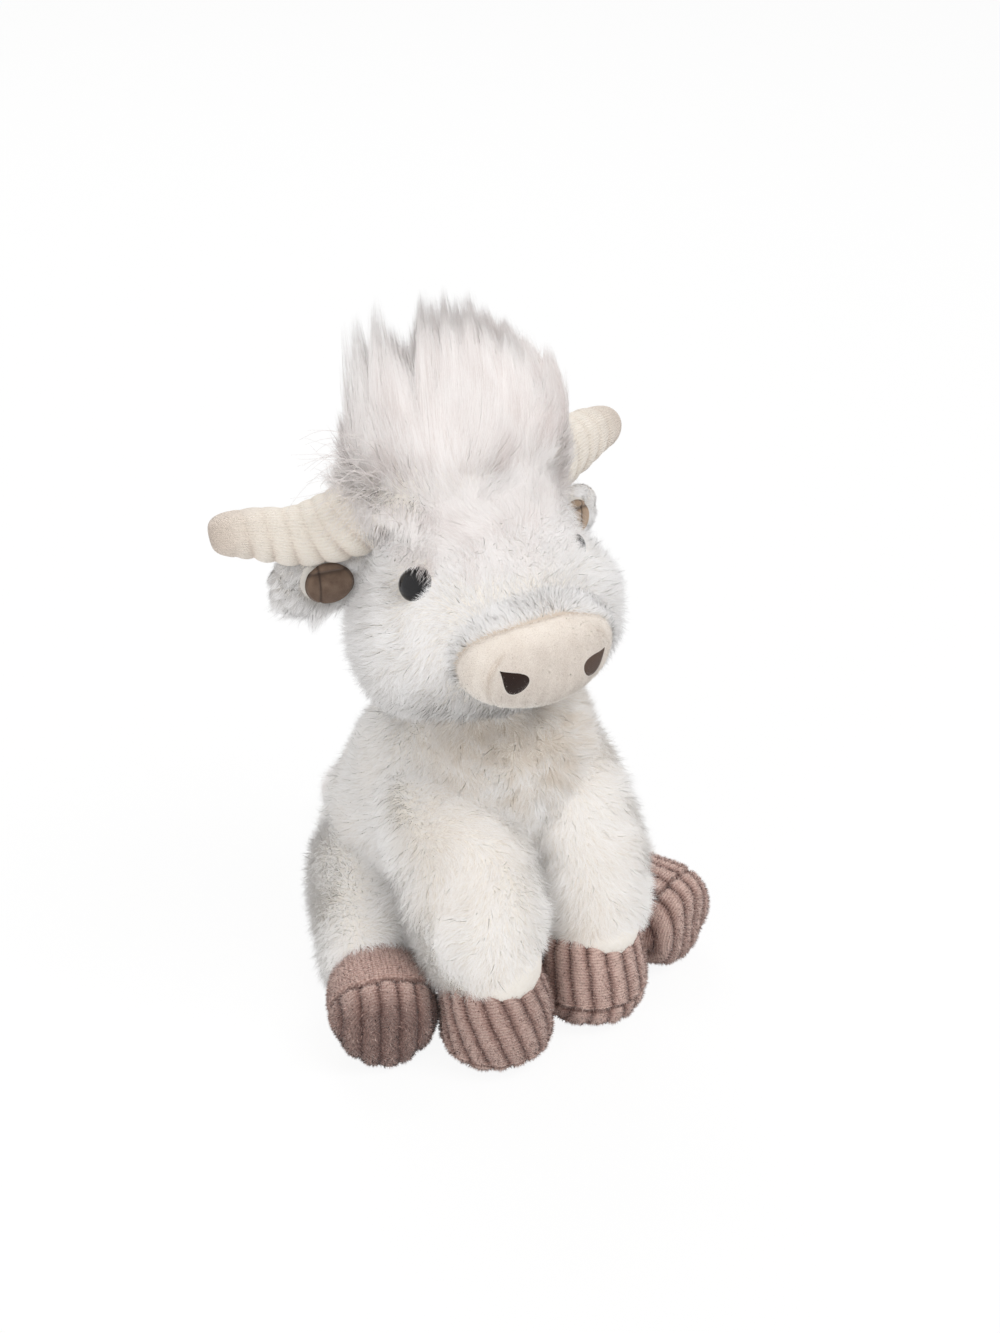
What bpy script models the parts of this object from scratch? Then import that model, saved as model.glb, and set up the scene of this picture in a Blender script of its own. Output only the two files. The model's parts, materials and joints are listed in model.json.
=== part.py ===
"""Sitting plush highland cow: fur skins over stuffing, with corduroy horns and hooves.

The cow sits on the XY plane and faces -Y. Its own left side is +X. The origin is on the
flat underside of the seat. Lengths are in metres.
"""
import math

import bmesh
import bpy
from mathutils import Matrix, Vector
from mathutils.bvhtree import BVHTree

# Clearances and cloth walls
SEAM_GAP = 0.0003
FILL_GAP = 0.0006
LEG_FILL_GAP = 0.0010
FUR_WALL = 0.007
CORDUROY_WALL = 0.002
VELBOA_WALL = 0.0022
OVERRUN = 0.02
SHARP_ANGLE = math.radians(40)
GROUND_TRIM = 0.0005
HALF_SPACE_SHARE = 1.5
MERGE_DISTANCE = 0.00003

# Torso
TORSO_HALF_WIDTH = 0.059
TORSO_HALF_DEPTH = 0.056
TORSO_HEIGHT = 0.142
TORSO_LEAN = 0.038
TORSO_SEGMENTS = 10
PELLET_BAG_HEIGHT = 0.034
NECK_CLEARANCE = 0.003

# Head, which sits over the top of the torso
NECK_SINK = 0.025
NECK_PIVOT_DROP = 0.005
HEAD_HALF_WIDTH = 0.0548
HEAD_HALF_DEPTH = 0.0447
HEAD_HEIGHT = 0.095
HEAD_LIFT = TORSO_HEIGHT - NECK_SINK
CROWN = Vector((0, 0, HEAD_LIFT + HEAD_HEIGHT))
HEAD_SETBACK = 0.033
FOREHEAD_SLOPE = 0.012
HEAD_SEGMENTS = 10
MUZZLE_SEGMENTS = 8

# Muzzle and nostrils
MUZZLE_HALF_WIDTH = 0.0328
MUZZLE_HALF_HEIGHT = 0.0210
MUZZLE_LENGTH = 0.040
MUZZLE_FRONT = 0.086
MUZZLE_LIFT = 0.042
MUZZLE_REACH_IN = 0.008
MUZZLE_FILLING_REACH_IN = 0.016
NOSTRIL_SPREAD = 0.0165
NOSTRIL_DROP = 0.001
NOSTRIL_LENGTH = 0.012
NOSTRIL_WIDTH = 0.0075
NOSTRIL_TILT = math.radians(35)
EMBROIDERY_THICKNESS = 0.0008
OUTLINE_SEGMENTS = 12

# Eyes
EYE_RADIUS = 0.0065
EYE_DROP = 0.0285
EYE_SPREAD_ANGLE = math.radians(17)
EYE_SINK = 0.0040
EYE_BACK = 0.0012
EYE_STEM_RADIUS = 0.0018
EYE_STEM_LENGTH = 0.014
WASHER_RADIUS = 0.0065
WASHER_THICKNESS = 0.0015
EYE_SEGMENTS = 10
EYE_DOME_STEPS = 4

# Horns, with their places from the crown
HORN_RADIUS = 0.0120
HORN_ROOT = Vector((0.010, -0.015, -0.020))
HORN_KNEE = Vector((0.055, -0.002, -0.0125))
HORN_TIP = Vector((0.086, 0.012, -0.023))
HORN_SEGMENTS = 8

# Ears, with their places from the crown
EAR_ROOT = Vector((0.028, -0.012, -0.037))
EAR_TIP = Vector((0.068, 0.001, -0.043))
EAR_PIVOT_SHARE = 0.30
EAR_HALF_HEIGHT = 0.0145
EAR_HALF_THICKNESS = 0.0070
EAR_SEGMENTS = 8
LINING_HALF_LENGTH = 0.0095
LINING_HALF_HEIGHT = 0.0085
LINING_THICKNESS = 0.0012
LINING_SHARE = 0.58

# Forelock, with its places from the crown
FORELOCK_HALF_WIDTH = 0.0462
FORELOCK_HALF_DEPTH = 0.0267
FORELOCK_RISE = 0.059
FORELOCK_ROOT_DEPTH = 0.022
FORELOCK_SETBACK = 0.016
FORELOCK_SWEEP = 0.013
FORELOCK_SEGMENTS = 8

# Front legs
FRONT_ROOT = Vector((0.0210, -0.023, 0.102))
FRONT_SHOULDER = Vector((0.0245, -0.041, 0.088))
FRONT_KNEE = Vector((0.0245, -0.059, 0.063))
FRONT_SHIN = Vector((0.0240, -0.068, 0.046))
FRONT_ANKLE = Vector((0.0225, -0.073, 0.034))
FRONT_TOE = Vector((0.0220, -0.078, 0.000))
FRONT_REACH = {"left": 0.0, "right": 0.006}
FRONT_LEG_HALF_WIDTH = 0.0250
FRONT_LEG_HALF_DEPTH = 0.0270
FRONT_HOOF_HALF_WIDTH = 0.0225
FRONT_HOOF_HALF_LENGTH = 0.0220
FRONT_SOLE_HEIGHT = 0.007

# Hind legs
HIP = Vector((0.032, 0.016, 0.042))
HIND_SPLAY = {"left": math.radians(22), "right": math.radians(19)}
HIND_TOE_REACH = 0.097
HIND_HOOF_LENGTH = 0.031
HIND_SOLE_DEPTH = 0.014
HIND_ANKLE_HEIGHT = 0.0200
HIND_TOE_HEIGHT = 0.0180
HIND_LEG_HALF_WIDTH = 0.0265
HIND_LEG_HALF_HEIGHT = 0.0300
HIND_HOOF_HALF_WIDTH = 0.0220
HIND_HOOF_HALF_HEIGHT = 0.0220

ANKLE_OVERLAP_SHARE = 0.3
LEG_SEGMENTS = 8
FILL_SEGMENTS = 6

# Tail
TAIL_ROOT = Vector((0.000, 0.0465, 0.042))
TAIL_BEND = Vector((0.000, 0.070, 0.036))
TAIL_END = Vector((0.000, 0.080, 0.022))
TUFT_END = Vector((0.000, 0.089, 0.008))
TAIL_RADIUS = 0.0075
TUFT_RADIUS = 0.0100
TAIL_PIVOT_SHARE = 0.15

# Joint ranges
NOD_ANGLES = tuple(math.radians(a) for a in (-10, 0, 10))
FRONT_ANGLES = tuple(math.radians(a) for a in (0, 8, 16, 24))
HIND_ANGLES = tuple(math.radians(a) for a in (0, 8, 16))
EAR_ANGLES = tuple(math.radians(a) for a in (-14, 0, 14))
TAIL_ANGLES = tuple(math.radians(a) for a in (-20, 0, 20))

SIDES = {"left": 1, "right": -1}
X_AXIS = Vector((1, 0, 0))
Y_AXIS = Vector((0, 1, 0))
Z_AXIS = Vector((0, 0, 1))


# Scene, collections and materials
def clear_scene():
    for item in list(bpy.data.objects):
        bpy.data.objects.remove(item, do_unlink=True)


def new_collection(name):
    collection = bpy.data.collections.new(name)
    bpy.context.scene.collection.children.link(collection)
    return collection


def principled(name, colour, roughness):
    material = bpy.data.materials.new(name)
    material.use_nodes = True
    shader = material.node_tree.nodes["Principled BSDF"]
    shader.inputs["Base Color"].default_value = (*colour, 1)
    shader.inputs["Roughness"].default_value = roughness
    shader.inputs["Metallic"].default_value = 0
    return material


def make_materials():
    return {
        "fur": principled("cream_fur", (0.86, 0.82, 0.75), 0.95),
        "long_fur": principled("long_white_fur", (0.90, 0.86, 0.84), 0.85),
        "velboa": principled("beige_velboa", (0.80, 0.68, 0.57), 0.9),
        "horn_cord": principled("cream_corduroy", (0.84, 0.76, 0.66), 0.9),
        "hoof_cord": principled("rose_corduroy", (0.42, 0.29, 0.25), 0.9),
        "suede": principled("taupe_suede", (0.33, 0.24, 0.17), 0.85),
        "thread": principled("brown_thread", (0.06, 0.035, 0.03), 0.5),
        "eye": principled("black_eye_plastic", (0.01, 0.01, 0.012), 0.08),
        "washer": principled("white_washer_plastic", (0.75, 0.75, 0.73), 0.5),
        "fill": principled("polyester_fill", (0.92, 0.92, 0.92), 1.0),
        "pellets": principled("pellet_bag_cloth", (0.55, 0.60, 0.66), 0.9),
    }


clear_scene()
COW = new_collection("plush_highland_cow")
CUTTERS = new_collection("cutters")
MATERIALS = make_materials()


# Soft forms lofted through elliptical rings
def ring_frame(stations, index, side_axis):
    before = stations[max(index - 1, 0)][0]
    after = stations[min(index + 1, len(stations) - 1)][0]
    along = (after - before).normalized()
    side = (side_axis - along * side_axis.dot(along)).normalized()
    return side, along.cross(side)


def loft(name, stations, segments, side_axis=X_AXIS, open_start=False, open_end=False):
    """Mesh through stations of (centre, half size to the side, half size across it)."""
    shape = bmesh.new()
    rings = []
    for index, (centre, half_side, half_across) in enumerate(stations):
        side, across = ring_frame(stations, index, side_axis)
        ring = []
        for step in range(segments):
            turn = math.tau * step / segments
            offset = side * half_side * math.cos(turn) + across * half_across * math.sin(turn)
            ring.append(shape.verts.new(centre + offset))
        rings.append(ring)
    for lower, upper in zip(rings, rings[1:]):
        for step in range(segments):
            after = (step + 1) % segments
            shape.faces.new((lower[step], lower[after], upper[after], upper[step]))
    if not open_start:
        shape.faces.new(tuple(reversed(rings[0])))
    if not open_end:
        shape.faces.new(tuple(rings[-1]))
    mesh = bpy.data.meshes.new(name)
    shape.to_mesh(mesh)
    shape.free()
    return mesh


def subdivide(item, levels):
    modifier = item.modifiers.new("soften", "SUBSURF")
    modifier.levels = levels
    modifier.render_levels = levels


def displace(item, distance):
    modifier = item.modifiers.new("offset", "DISPLACE")
    modifier.strength = distance
    modifier.mid_level = 0


def solidify(item, thickness, offset=-1):
    modifier = item.modifiers.new("wall", "SOLIDIFY")
    modifier.thickness = thickness
    modifier.offset = offset


def cut(item, cutter, operation="DIFFERENCE"):
    modifier = item.modifiers.new(operation.lower(), "BOOLEAN")
    modifier.operation = operation
    modifier.object = cutter


def add_piece(name, mesh, material, joint=None):
    piece = bpy.data.objects.new(name, mesh)
    COW.objects.link(piece)
    mesh.materials.clear()
    mesh.materials.append(MATERIALS[material])
    mesh.shade_smooth()
    if joint:
        mesh.transform(Matrix.Translation(-joint.location))
        piece.parent = joint
    return piece


def add_cutter(name, mesh, levels=1, grow=0.0):
    cutter = bpy.data.objects.new(name, mesh)
    CUTTERS.objects.link(cutter)
    cutter.hide_render = True
    cutter.display_type = "WIRE"
    if levels:
        subdivide(cutter, levels)
    if grow:
        displace(cutter, grow)
    return cutter


def add_joint(name, place):
    joint = bpy.data.objects.new(name, None)
    joint.location = place
    COW.objects.link(joint)
    return joint


def swept_cutter(name, form, pivot, axis, angles):
    """Convex space that a fixed form fills, seen from a piece that turns through the angles."""
    bpy.context.view_layer.update()
    evaluated = form.evaluated_get(bpy.context.evaluated_depsgraph_get())
    points = [vertex.co.copy() for vertex in evaluated.to_mesh().vertices]
    evaluated.to_mesh_clear()
    shape = bmesh.new()
    for angle in angles:
        turn = Matrix.Rotation(-angle, 3, axis)
        for point in points:
            shape.verts.new(pivot + turn @ (point - pivot))
    hull = bmesh.ops.convex_hull(shape, input=shape.verts)
    inside = set(hull["geom_interior"]) | set(hull["geom_unused"])
    loose = [item for item in inside if isinstance(item, bmesh.types.BMVert)]
    bmesh.ops.delete(shape, geom=loose, context="VERTS")
    mesh = bpy.data.meshes.new(name)
    shape.to_mesh(mesh)
    shape.free()
    return add_cutter(name, mesh, levels=0)


def block_mesh(name, size):
    shape = bmesh.new()
    bmesh.ops.create_cube(shape, size=size)
    mesh = bpy.data.meshes.new(name)
    shape.to_mesh(mesh)
    shape.free()
    return mesh


def half_space(name, point, normal):
    """Block that fills the space on the normal's side of a plane."""
    size = (CROWN.z + FORELOCK_RISE) * HALF_SPACE_SHARE
    cutter = add_cutter(name, block_mesh(name, size), levels=0)
    turn = normal.to_track_quat("Z", "Y").to_matrix().to_4x4()
    centre = point + normal * size / 2
    cutter.matrix_world = Matrix.Translation(centre) @ turn
    return cutter


def mirrored(place, side):
    return Vector((place.x * side, place.y, place.z))


def surface_hit(cutter, start, direction):
    """Point and outward normal where a ray from inside a form leaves it."""
    bpy.context.view_layer.update()
    tree = BVHTree.FromObject(cutter, bpy.context.evaluated_depsgraph_get())
    point, normal, _, _ = tree.ray_cast(start, direction)
    return point, normal


# Torso
TORSO_SHARES = (
    (-0.002, 0.34, 0.34, -0.06),
    (0.000, 0.64, 0.64, -0.06),
    (0.055, 0.90, 0.92, -0.06),
    (0.230, 0.98, 1.02, -0.04),
    (0.420, 0.96, 0.96, 0.30),
    (0.600, 0.92, 0.84, 0.68),
    (0.740, 0.82, 0.74, 0.84),
    (0.870, 0.64, 0.66, 0.90),
    (1.000, 0.30, 0.34, 0.92),
)


def torso_stations(first=0, last=None):
    stations = []
    for height, width, depth, lean in TORSO_SHARES[first:last]:
        bottom = -GROUND_TRIM if height <= 0 else 0
        centre = Vector((0, -TORSO_LEAN * lean, TORSO_HEIGHT * height + bottom))
        stations.append((centre, TORSO_HALF_WIDTH * width, TORSO_HALF_DEPTH * depth))
    return stations


def build_torso(ground):
    skin = add_piece("torso_skin", loft("torso_skin", torso_stations(), TORSO_SEGMENTS,
                                        open_end=True), "fur")
    subdivide(skin, 1)
    solidify(skin, FUR_WALL)
    cut(skin, ground)

    bag_top = Vector((0, 0, PELLET_BAG_HEIGHT))
    stuffing = add_piece("torso_stuffing", loft("torso_stuffing", torso_stations(),
                                                TORSO_SEGMENTS), "fill")
    subdivide(stuffing, 1)
    displace(stuffing, -FUR_WALL - FILL_GAP)
    cut(stuffing, half_space("below_stuffing", bag_top, -Z_AXIS))

    bag = add_piece("pellet_bag", loft("pellet_bag", torso_stations(), TORSO_SEGMENTS),
                    "pellets")
    subdivide(bag, 1)
    displace(bag, -FUR_WALL - FILL_GAP)
    cut(bag, half_space("above_bag", bag_top - Z_AXIS * FILL_GAP, Z_AXIS))
    return skin


# Head
HEAD_SHARES = (
    (0.000, 0.46, 0.46, 0.55),
    (0.080, 0.76, 0.64, 0.55),
    (0.220, 0.96, 0.84, 0.45),
    (0.380, 1.08, 1.06, 0.05),
    (0.530, 0.99, 1.00, 0.25),
    (0.680, 0.70, 0.77, 0.70),
    (0.880, 0.64, 0.66, 1.20),
    (1.000, 0.34, 0.36, 1.50),
)


def head_stations():
    stations = []
    for height, width, depth, slope in HEAD_SHARES:
        centre = Vector((0, FOREHEAD_SLOPE * slope - HEAD_SETBACK, HEAD_LIFT + HEAD_HEIGHT * height))
        stations.append((centre, HEAD_HALF_WIDTH * width, HEAD_HALF_DEPTH * depth))
    return stations


MUZZLE_SHARES = (
    (0.00, 0.84),
    (0.30, 0.98),
    (0.62, 1.02),
    (0.86, 0.84),
    (1.00, 0.46),
)


def muzzle_stations(inset=0.0):
    stations = []
    for along, size in MUZZLE_SHARES:
        back = MUZZLE_LENGTH * (1 - along) - MUZZLE_FRONT + inset
        centre = Vector((0, back, HEAD_LIFT + MUZZLE_LIFT))
        stations.append((centre, MUZZLE_HALF_WIDTH * size - inset, MUZZLE_HALF_HEIGHT * size - inset))
    return stations


def extended(stations, first=None, last=None):
    """Stations with one more ring, a given step before the first or past the last one."""
    longer = list(stations)
    if first:
        centre, side, across = stations[0]
        longer.insert(0, (centre + first, side, across))
    if last:
        centre, side, across = stations[-1]
        longer.append((centre + last, side, across))
    return longer


def build_head(neck, neck_space):
    head_form = add_cutter("head_form", loft("head_form", head_stations(), HEAD_SEGMENTS), grow=SEAM_GAP)
    form_stations = extended(muzzle_stations(), first=Y_AXIS * MUZZLE_REACH_IN)
    muzzle_mesh = loft("muzzle_form", form_stations, MUZZLE_SEGMENTS)
    muzzle_form = add_cutter("muzzle_form", muzzle_mesh, grow=SEAM_GAP)

    skin = add_piece("head_skin", loft("head_skin", head_stations(), HEAD_SEGMENTS, open_start=True),
                     "fur", neck)
    subdivide(skin, 1)
    solidify(skin, FUR_WALL)
    for cutter in (neck_space, muzzle_form):
        cut(skin, cutter)

    muzzle = add_piece("muzzle_cover", loft("muzzle_cover", muzzle_stations(), MUZZLE_SEGMENTS,
                                            open_start=True), "velboa", neck)
    subdivide(muzzle, 1)
    solidify(muzzle, VELBOA_WALL)
    cut(muzzle, neck_space)

    filling_inset = VELBOA_WALL + FILL_GAP
    filling_stations = extended(muzzle_stations(filling_inset), first=Y_AXIS * MUZZLE_FILLING_REACH_IN)
    filling = add_cutter("muzzle_filling", loft("muzzle_filling", filling_stations, FILL_SEGMENTS))
    stuffing = add_piece("head_stuffing", loft("head_stuffing", head_stations(), HEAD_SEGMENTS),
                         "fill", neck)
    subdivide(stuffing, 1)
    displace(stuffing, -FUR_WALL - FILL_GAP)
    for cutter in (neck_space, muzzle_form):
        cut(stuffing, cutter)
    cut(stuffing, filling, "UNION")
    return head_form, skin, stuffing


# Eyes: a dome on a stem, held inside the skin by a lock washer
def turned_mesh(name, profile):
    """Closed mesh from (radius, height) points, turned round Z from top to bottom."""
    steps = EYE_SEGMENTS
    shape = bmesh.new()
    rings = []
    for radius, height in profile:
        turns = [0] if radius == 0 else [math.tau * step / steps for step in range(steps)]
        rings.append([shape.verts.new((radius * math.cos(turn), radius * math.sin(turn), height))
                      for turn in turns])
    for upper, lower in zip(rings, rings[1:]):
        for step in range(steps):
            after = (step + 1) % steps
            corners = [upper[step % len(upper)], lower[step % len(lower)],
                       lower[after % len(lower)], upper[after % len(upper)]]
            shape.faces.new(tuple(dict.fromkeys(corners)))
    mesh = bpy.data.meshes.new(name)
    shape.to_mesh(mesh)
    shape.free()
    return mesh


def eye_profile(grow=0.0):
    """Dome, back face and stem, as (radius, height) points from the front to the back."""
    dome = EYE_RADIUS + grow
    back = -EYE_BACK - grow
    stem = EYE_STEM_RADIUS + grow
    points = []
    for step in range(EYE_DOME_STEPS + 1):
        turn = math.pi / 2 * step / EYE_DOME_STEPS
        points.append((dome * math.sin(turn), dome * math.cos(turn)))
    points += [(dome, back), (stem, back), (stem, -EYE_STEM_LENGTH - grow), (0, -EYE_STEM_LENGTH - grow)]
    return points


def pocket_profile(washer_depth):
    """Space that an eye and its washer leave free in the skin and in the stuffing."""
    points = eye_profile(SEAM_GAP)
    disc = WASHER_RADIUS + SEAM_GAP
    top = WASHER_THICKNESS / 2 + SEAM_GAP
    stem = EYE_STEM_RADIUS + SEAM_GAP
    ring = [(stem, top - washer_depth), (disc, top - washer_depth),
            (disc, -top - washer_depth), (stem, -top - washer_depth)]
    return points[:-2] + ring + points[-2:]


def washer_mesh(name):
    """Flat ring round the stem."""
    inner = EYE_STEM_RADIUS + SEAM_GAP
    outer = WASHER_RADIUS
    top = WASHER_THICKNESS / 2
    mesh = turned_mesh(name, [(inner, top), (outer, top), (outer, -top), (inner, -top), (inner, top)])
    shape = bmesh.new()
    shape.from_mesh(mesh)
    bmesh.ops.remove_doubles(shape, verts=shape.verts, dist=MERGE_DISTANCE)
    shape.to_mesh(mesh)
    shape.free()
    return mesh


def placed(mesh, point, direction):
    turn = direction.to_track_quat("Z", "Y").to_matrix().to_4x4()
    mesh.transform(Matrix.Translation(point) @ turn)
    return mesh


def build_eyes(neck, head_form, skin, stuffing):
    middle = Vector((0, -HEAD_SETBACK, CROWN.z - EYE_DROP))
    washer_depth = FUR_WALL + FILL_GAP + WASHER_THICKNESS / 2 - EYE_SINK
    for name, side in SIDES.items():
        aim = Vector((side * math.cos(EYE_SPREAD_ANGLE), -math.sin(EYE_SPREAD_ANGLE), 0))
        point, look = surface_hit(head_form, middle, aim)
        seat = point - look * EYE_SINK
        eye_mesh = turned_mesh(f"eye_{name}", eye_profile())
        eye = add_piece(f"eye_{name}", placed(eye_mesh, seat, look), "eye", neck)
        eye.data.set_sharp_from_angle(angle=SHARP_ANGLE)
        washer_place = seat - look * washer_depth
        washer_name = f"eye_washer_{name}"
        washer = add_piece(washer_name, placed(washer_mesh(washer_name), washer_place, look), "washer", neck)
        washer.data.set_sharp_from_angle(angle=SHARP_ANGLE)
        space = placed(turned_mesh("eye_space", pocket_profile(washer_depth)), seat, look)
        pocket = add_cutter(f"eye_space_{name}", space, levels=0)
        cut(skin, pocket)
        cut(stuffing, pocket)


# Patches sewn onto a surface: nostril embroidery and ear linings
def patch(name, surface_mesh, outline, thickness, material, joint):
    """Sheet that follows a soft form's surface inside a closed outline block."""
    sheet = add_cutter(f"{name}_sheet", surface_mesh, grow=SEAM_GAP)
    solidify(sheet, thickness, offset=1)
    piece = add_piece(name, outline, material, joint)
    cut(piece, sheet, "INTERSECT")
    return piece


def teardrop(half_length, half_width, tilt):
    """Outline with one point, as (x, z) places round its middle."""
    places = []
    for step in range(OUTLINE_SEGMENTS):
        turn = math.tau * step / OUTLINE_SEGMENTS
        across = half_length * math.cos(turn)
        up = half_width * math.sin(turn) * math.sin(turn / 2)
        places.append((across * math.cos(tilt) - up * math.sin(tilt),
                       across * math.sin(tilt) + up * math.cos(tilt)))
    return places


def ellipse(half_length, half_height):
    places = []
    for step in range(OUTLINE_SEGMENTS):
        turn = math.tau * step / OUTLINE_SEGMENTS
        places.append((half_length * math.cos(turn), half_height * math.sin(turn)))
    return places


def outline_block(name, places, centre, front, back):
    """Block with an (x, z) outline, from y = front to y = back."""
    shape = bmesh.new()
    near = [shape.verts.new((centre.x + x, front, centre.z + z)) for x, z in places]
    far = [shape.verts.new((centre.x + x, back, centre.z + z)) for x, z in places]
    shape.faces.new(near)
    shape.faces.new(tuple(reversed(far)))
    count = len(places)
    for step in range(count):
        after = (step + 1) % count
        shape.faces.new((near[after], near[step], far[step], far[after]))
    bmesh.ops.recalc_face_normals(shape, faces=shape.faces)
    mesh = bpy.data.meshes.new(name)
    shape.to_mesh(mesh)
    shape.free()
    return mesh


def build_nostrils(neck):
    for name, side in SIDES.items():
        tilt = NOSTRIL_TILT if side > 0 else math.pi - NOSTRIL_TILT
        places = teardrop(NOSTRIL_LENGTH / 2, NOSTRIL_WIDTH, tilt)
        centre = Vector((side * NOSTRIL_SPREAD, 0, HEAD_LIFT + MUZZLE_LIFT - NOSTRIL_DROP))
        block = outline_block(f"nostril_{name}", places, centre, -MUZZLE_FRONT - OVERRUN,
                              MUZZLE_LENGTH / 2 - MUZZLE_FRONT)
        surface = loft("muzzle_surface", muzzle_stations(), MUZZLE_SEGMENTS)
        patch(f"nostril_{name}", surface, block, EMBROIDERY_THICKNESS, "thread", neck)


# Horns
HORN_SHARES = (
    (0.00, 0.80),
    (0.14, 1.04),
    (0.36, 1.04),
    (0.66, 0.86),
    (0.93, 0.68),
    (1.00, 0.44),
)


def bend(start, middle, end, share):
    """Point on a quadratic curve that passes near the middle point."""
    return start * (1 - share) ** 2 + middle * (2 * share * (1 - share)) + end * share ** 2


def horn_stations(side):
    root, knee, tip = (mirrored(CROWN + place, side) for place in (HORN_ROOT, HORN_KNEE, HORN_TIP))
    return [(bend(root, knee, tip, along), HORN_RADIUS * size, HORN_RADIUS * size)
            for along, size in HORN_SHARES]


def build_horns(neck, head_form):
    forms = {}
    for name, side in SIDES.items():
        stations = horn_stations(side)
        skin_mesh = loft(f"horn_{name}", stations, HORN_SEGMENTS, Y_AXIS, open_start=True)
        skin = add_piece(f"horn_{name}", skin_mesh, "horn_cord", neck)
        subdivide(skin, 1)
        solidify(skin, CORDUROY_WALL)
        cut(skin, head_form)
        stuffing_name = f"horn_stuffing_{name}"
        stuffing_mesh = loft(stuffing_name, stations, HORN_SEGMENTS, Y_AXIS)
        stuffing = add_piece(stuffing_name, stuffing_mesh, "fill", neck)
        subdivide(stuffing, 1)
        displace(stuffing, -CORDUROY_WALL - FILL_GAP)
        cut(stuffing, head_form)
        form_mesh = loft("horn_form", stations, HORN_SEGMENTS, Y_AXIS)
        forms[name] = add_cutter(f"horn_form_{name}", form_mesh, grow=SEAM_GAP)
    return forms


# Ears
EAR_SHARES = (
    (0.00, 0.66),
    (0.30, 0.92),
    (0.60, 1.06),
    (0.85, 0.92),
    (1.00, 0.50),
)


def build_ears(neck, head_form, horn_forms):
    for name, side in SIDES.items():
        root, tip = mirrored(CROWN + EAR_ROOT, side), mirrored(CROWN + EAR_TIP, side)
        stations = [(root.lerp(tip, along), EAR_HALF_THICKNESS * size, EAR_HALF_HEIGHT * size)
                    for along, size in EAR_SHARES]
        joint = add_joint(f"ear_joint_{name}", root.lerp(tip, EAR_PIVOT_SHARE))
        pivot = joint.location
        head_space = swept_cutter(f"head_at_ear_{name}", head_form, pivot, Z_AXIS, EAR_ANGLES)
        horn_space = swept_cutter(f"horn_at_ear_{name}", horn_forms[name], pivot, Z_AXIS, EAR_ANGLES)
        ear_mesh = loft(f"ear_{name}", stations, EAR_SEGMENTS, Y_AXIS)
        surface = ear_mesh.copy()
        ear = add_piece(f"ear_{name}", ear_mesh, "fur", joint)
        subdivide(ear, 1)
        cut(ear, head_space)
        cut(ear, horn_space)
        middle = root.lerp(tip, LINING_SHARE)
        places = ellipse(LINING_HALF_LENGTH, LINING_HALF_HEIGHT)
        block = outline_block(f"ear_lining_{name}", places, middle, middle.y - OVERRUN, middle.y)
        lining = patch(f"ear_lining_{name}", surface, block, LINING_THICKNESS, "suede", joint)
        cut(lining, head_space)
        cut(lining, horn_space)


# Forelock
FORELOCK_SHARES = (
    (0.00, 0.80, 0.80, 0.00),
    (0.18, 1.02, 1.04, 0.00),
    (0.40, 1.06, 1.06, 0.12),
    (0.62, 0.98, 0.98, 0.40),
    (0.86, 0.82, 0.82, 0.82),
    (1.00, 0.46, 0.44, 1.05),
)


def build_forelock(neck, head_form, horn_forms):
    length = FORELOCK_RISE + FORELOCK_ROOT_DEPTH
    base = CROWN.z - FORELOCK_ROOT_DEPTH
    stations = [(Vector((-FORELOCK_SWEEP * sweep, -FORELOCK_SETBACK, base + length * height)),
                 FORELOCK_HALF_WIDTH * width, FORELOCK_HALF_DEPTH * depth)
                for height, width, depth, sweep in FORELOCK_SHARES]
    forelock = add_piece("forelock", loft("forelock", stations, FORELOCK_SEGMENTS), "long_fur", neck)
    subdivide(forelock, 1)
    cut(forelock, head_form)
    for form in horn_forms.values():
        cut(forelock, form)


# Legs and hooves
def inset_stations(stations, inset):
    return [(centre, side - inset, across - inset) for centre, side, across in stations]


def trim(item, name, point, normal):
    """Keeps an item clear of a seam plane, on the side away from the normal."""
    cut(item, half_space(name, point - normal * SEAM_GAP / 2, normal))


def build_leg(name, stations, sole_point, sole_normal, joint, torso_space, ground):
    """Fur leg, corduroy hoof and sole over one stuffing."""
    leg, hoof, ankle = stations
    along = (leg[-1][0] - leg[-2][0]).normalized()

    skin = add_piece(name, loft(name, leg, LEG_SEGMENTS, open_start=True, open_end=True), "fur", joint)
    subdivide(skin, 1)
    solidify(skin, FUR_WALL)
    cut(skin, torso_space)
    trim(skin, f"below_{name}", ankle, along)

    shell_names = (f"{name}_hoof", f"{name}_sole")
    for shell_name, facing in zip(shell_names, (sole_normal, -sole_normal)):
        shell = add_piece(shell_name, loft(shell_name, hoof, LEG_SEGMENTS, open_start=True),
                          "hoof_cord", joint)
        subdivide(shell, 1)
        solidify(shell, CORDUROY_WALL)
        trim(shell, f"seam_of_{shell_name}", sole_point, facing)
        trim(shell, f"above_{shell_name}", ankle, -along)
        cut(shell, ground)

    fur_inset = FUR_WALL + LEG_FILL_GAP
    cord_inset = CORDUROY_WALL + LEG_FILL_GAP
    core = inset_stations(leg[:-1], fur_inset)
    foot = inset_stations(hoof[1:-1], cord_inset)
    toe_centre, toe_side, toe_across = hoof[-1]
    toe_along = (toe_centre - hoof[-2][0]).normalized()
    foot.append((toe_centre - toe_along * cord_inset, toe_side - cord_inset, toe_across - cord_inset))
    stuffing_name = f"{name}_stuffing"
    stuffing = add_piece(stuffing_name, loft(stuffing_name, core + foot, FILL_SEGMENTS), "fill", joint)
    subdivide(stuffing, 1)
    cut(stuffing, torso_space)


FRONT_LEG_SHARES = (0.76, 1.00, 1.00, 1.00, 0.96, 0.94)
FRONT_HOOF_SHARES = (
    (-0.20, 0.90),
    (0.30, 1.00),
    (0.72, 1.02),
    (0.94, 0.86),
    (1.00, 0.66),
)


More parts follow.
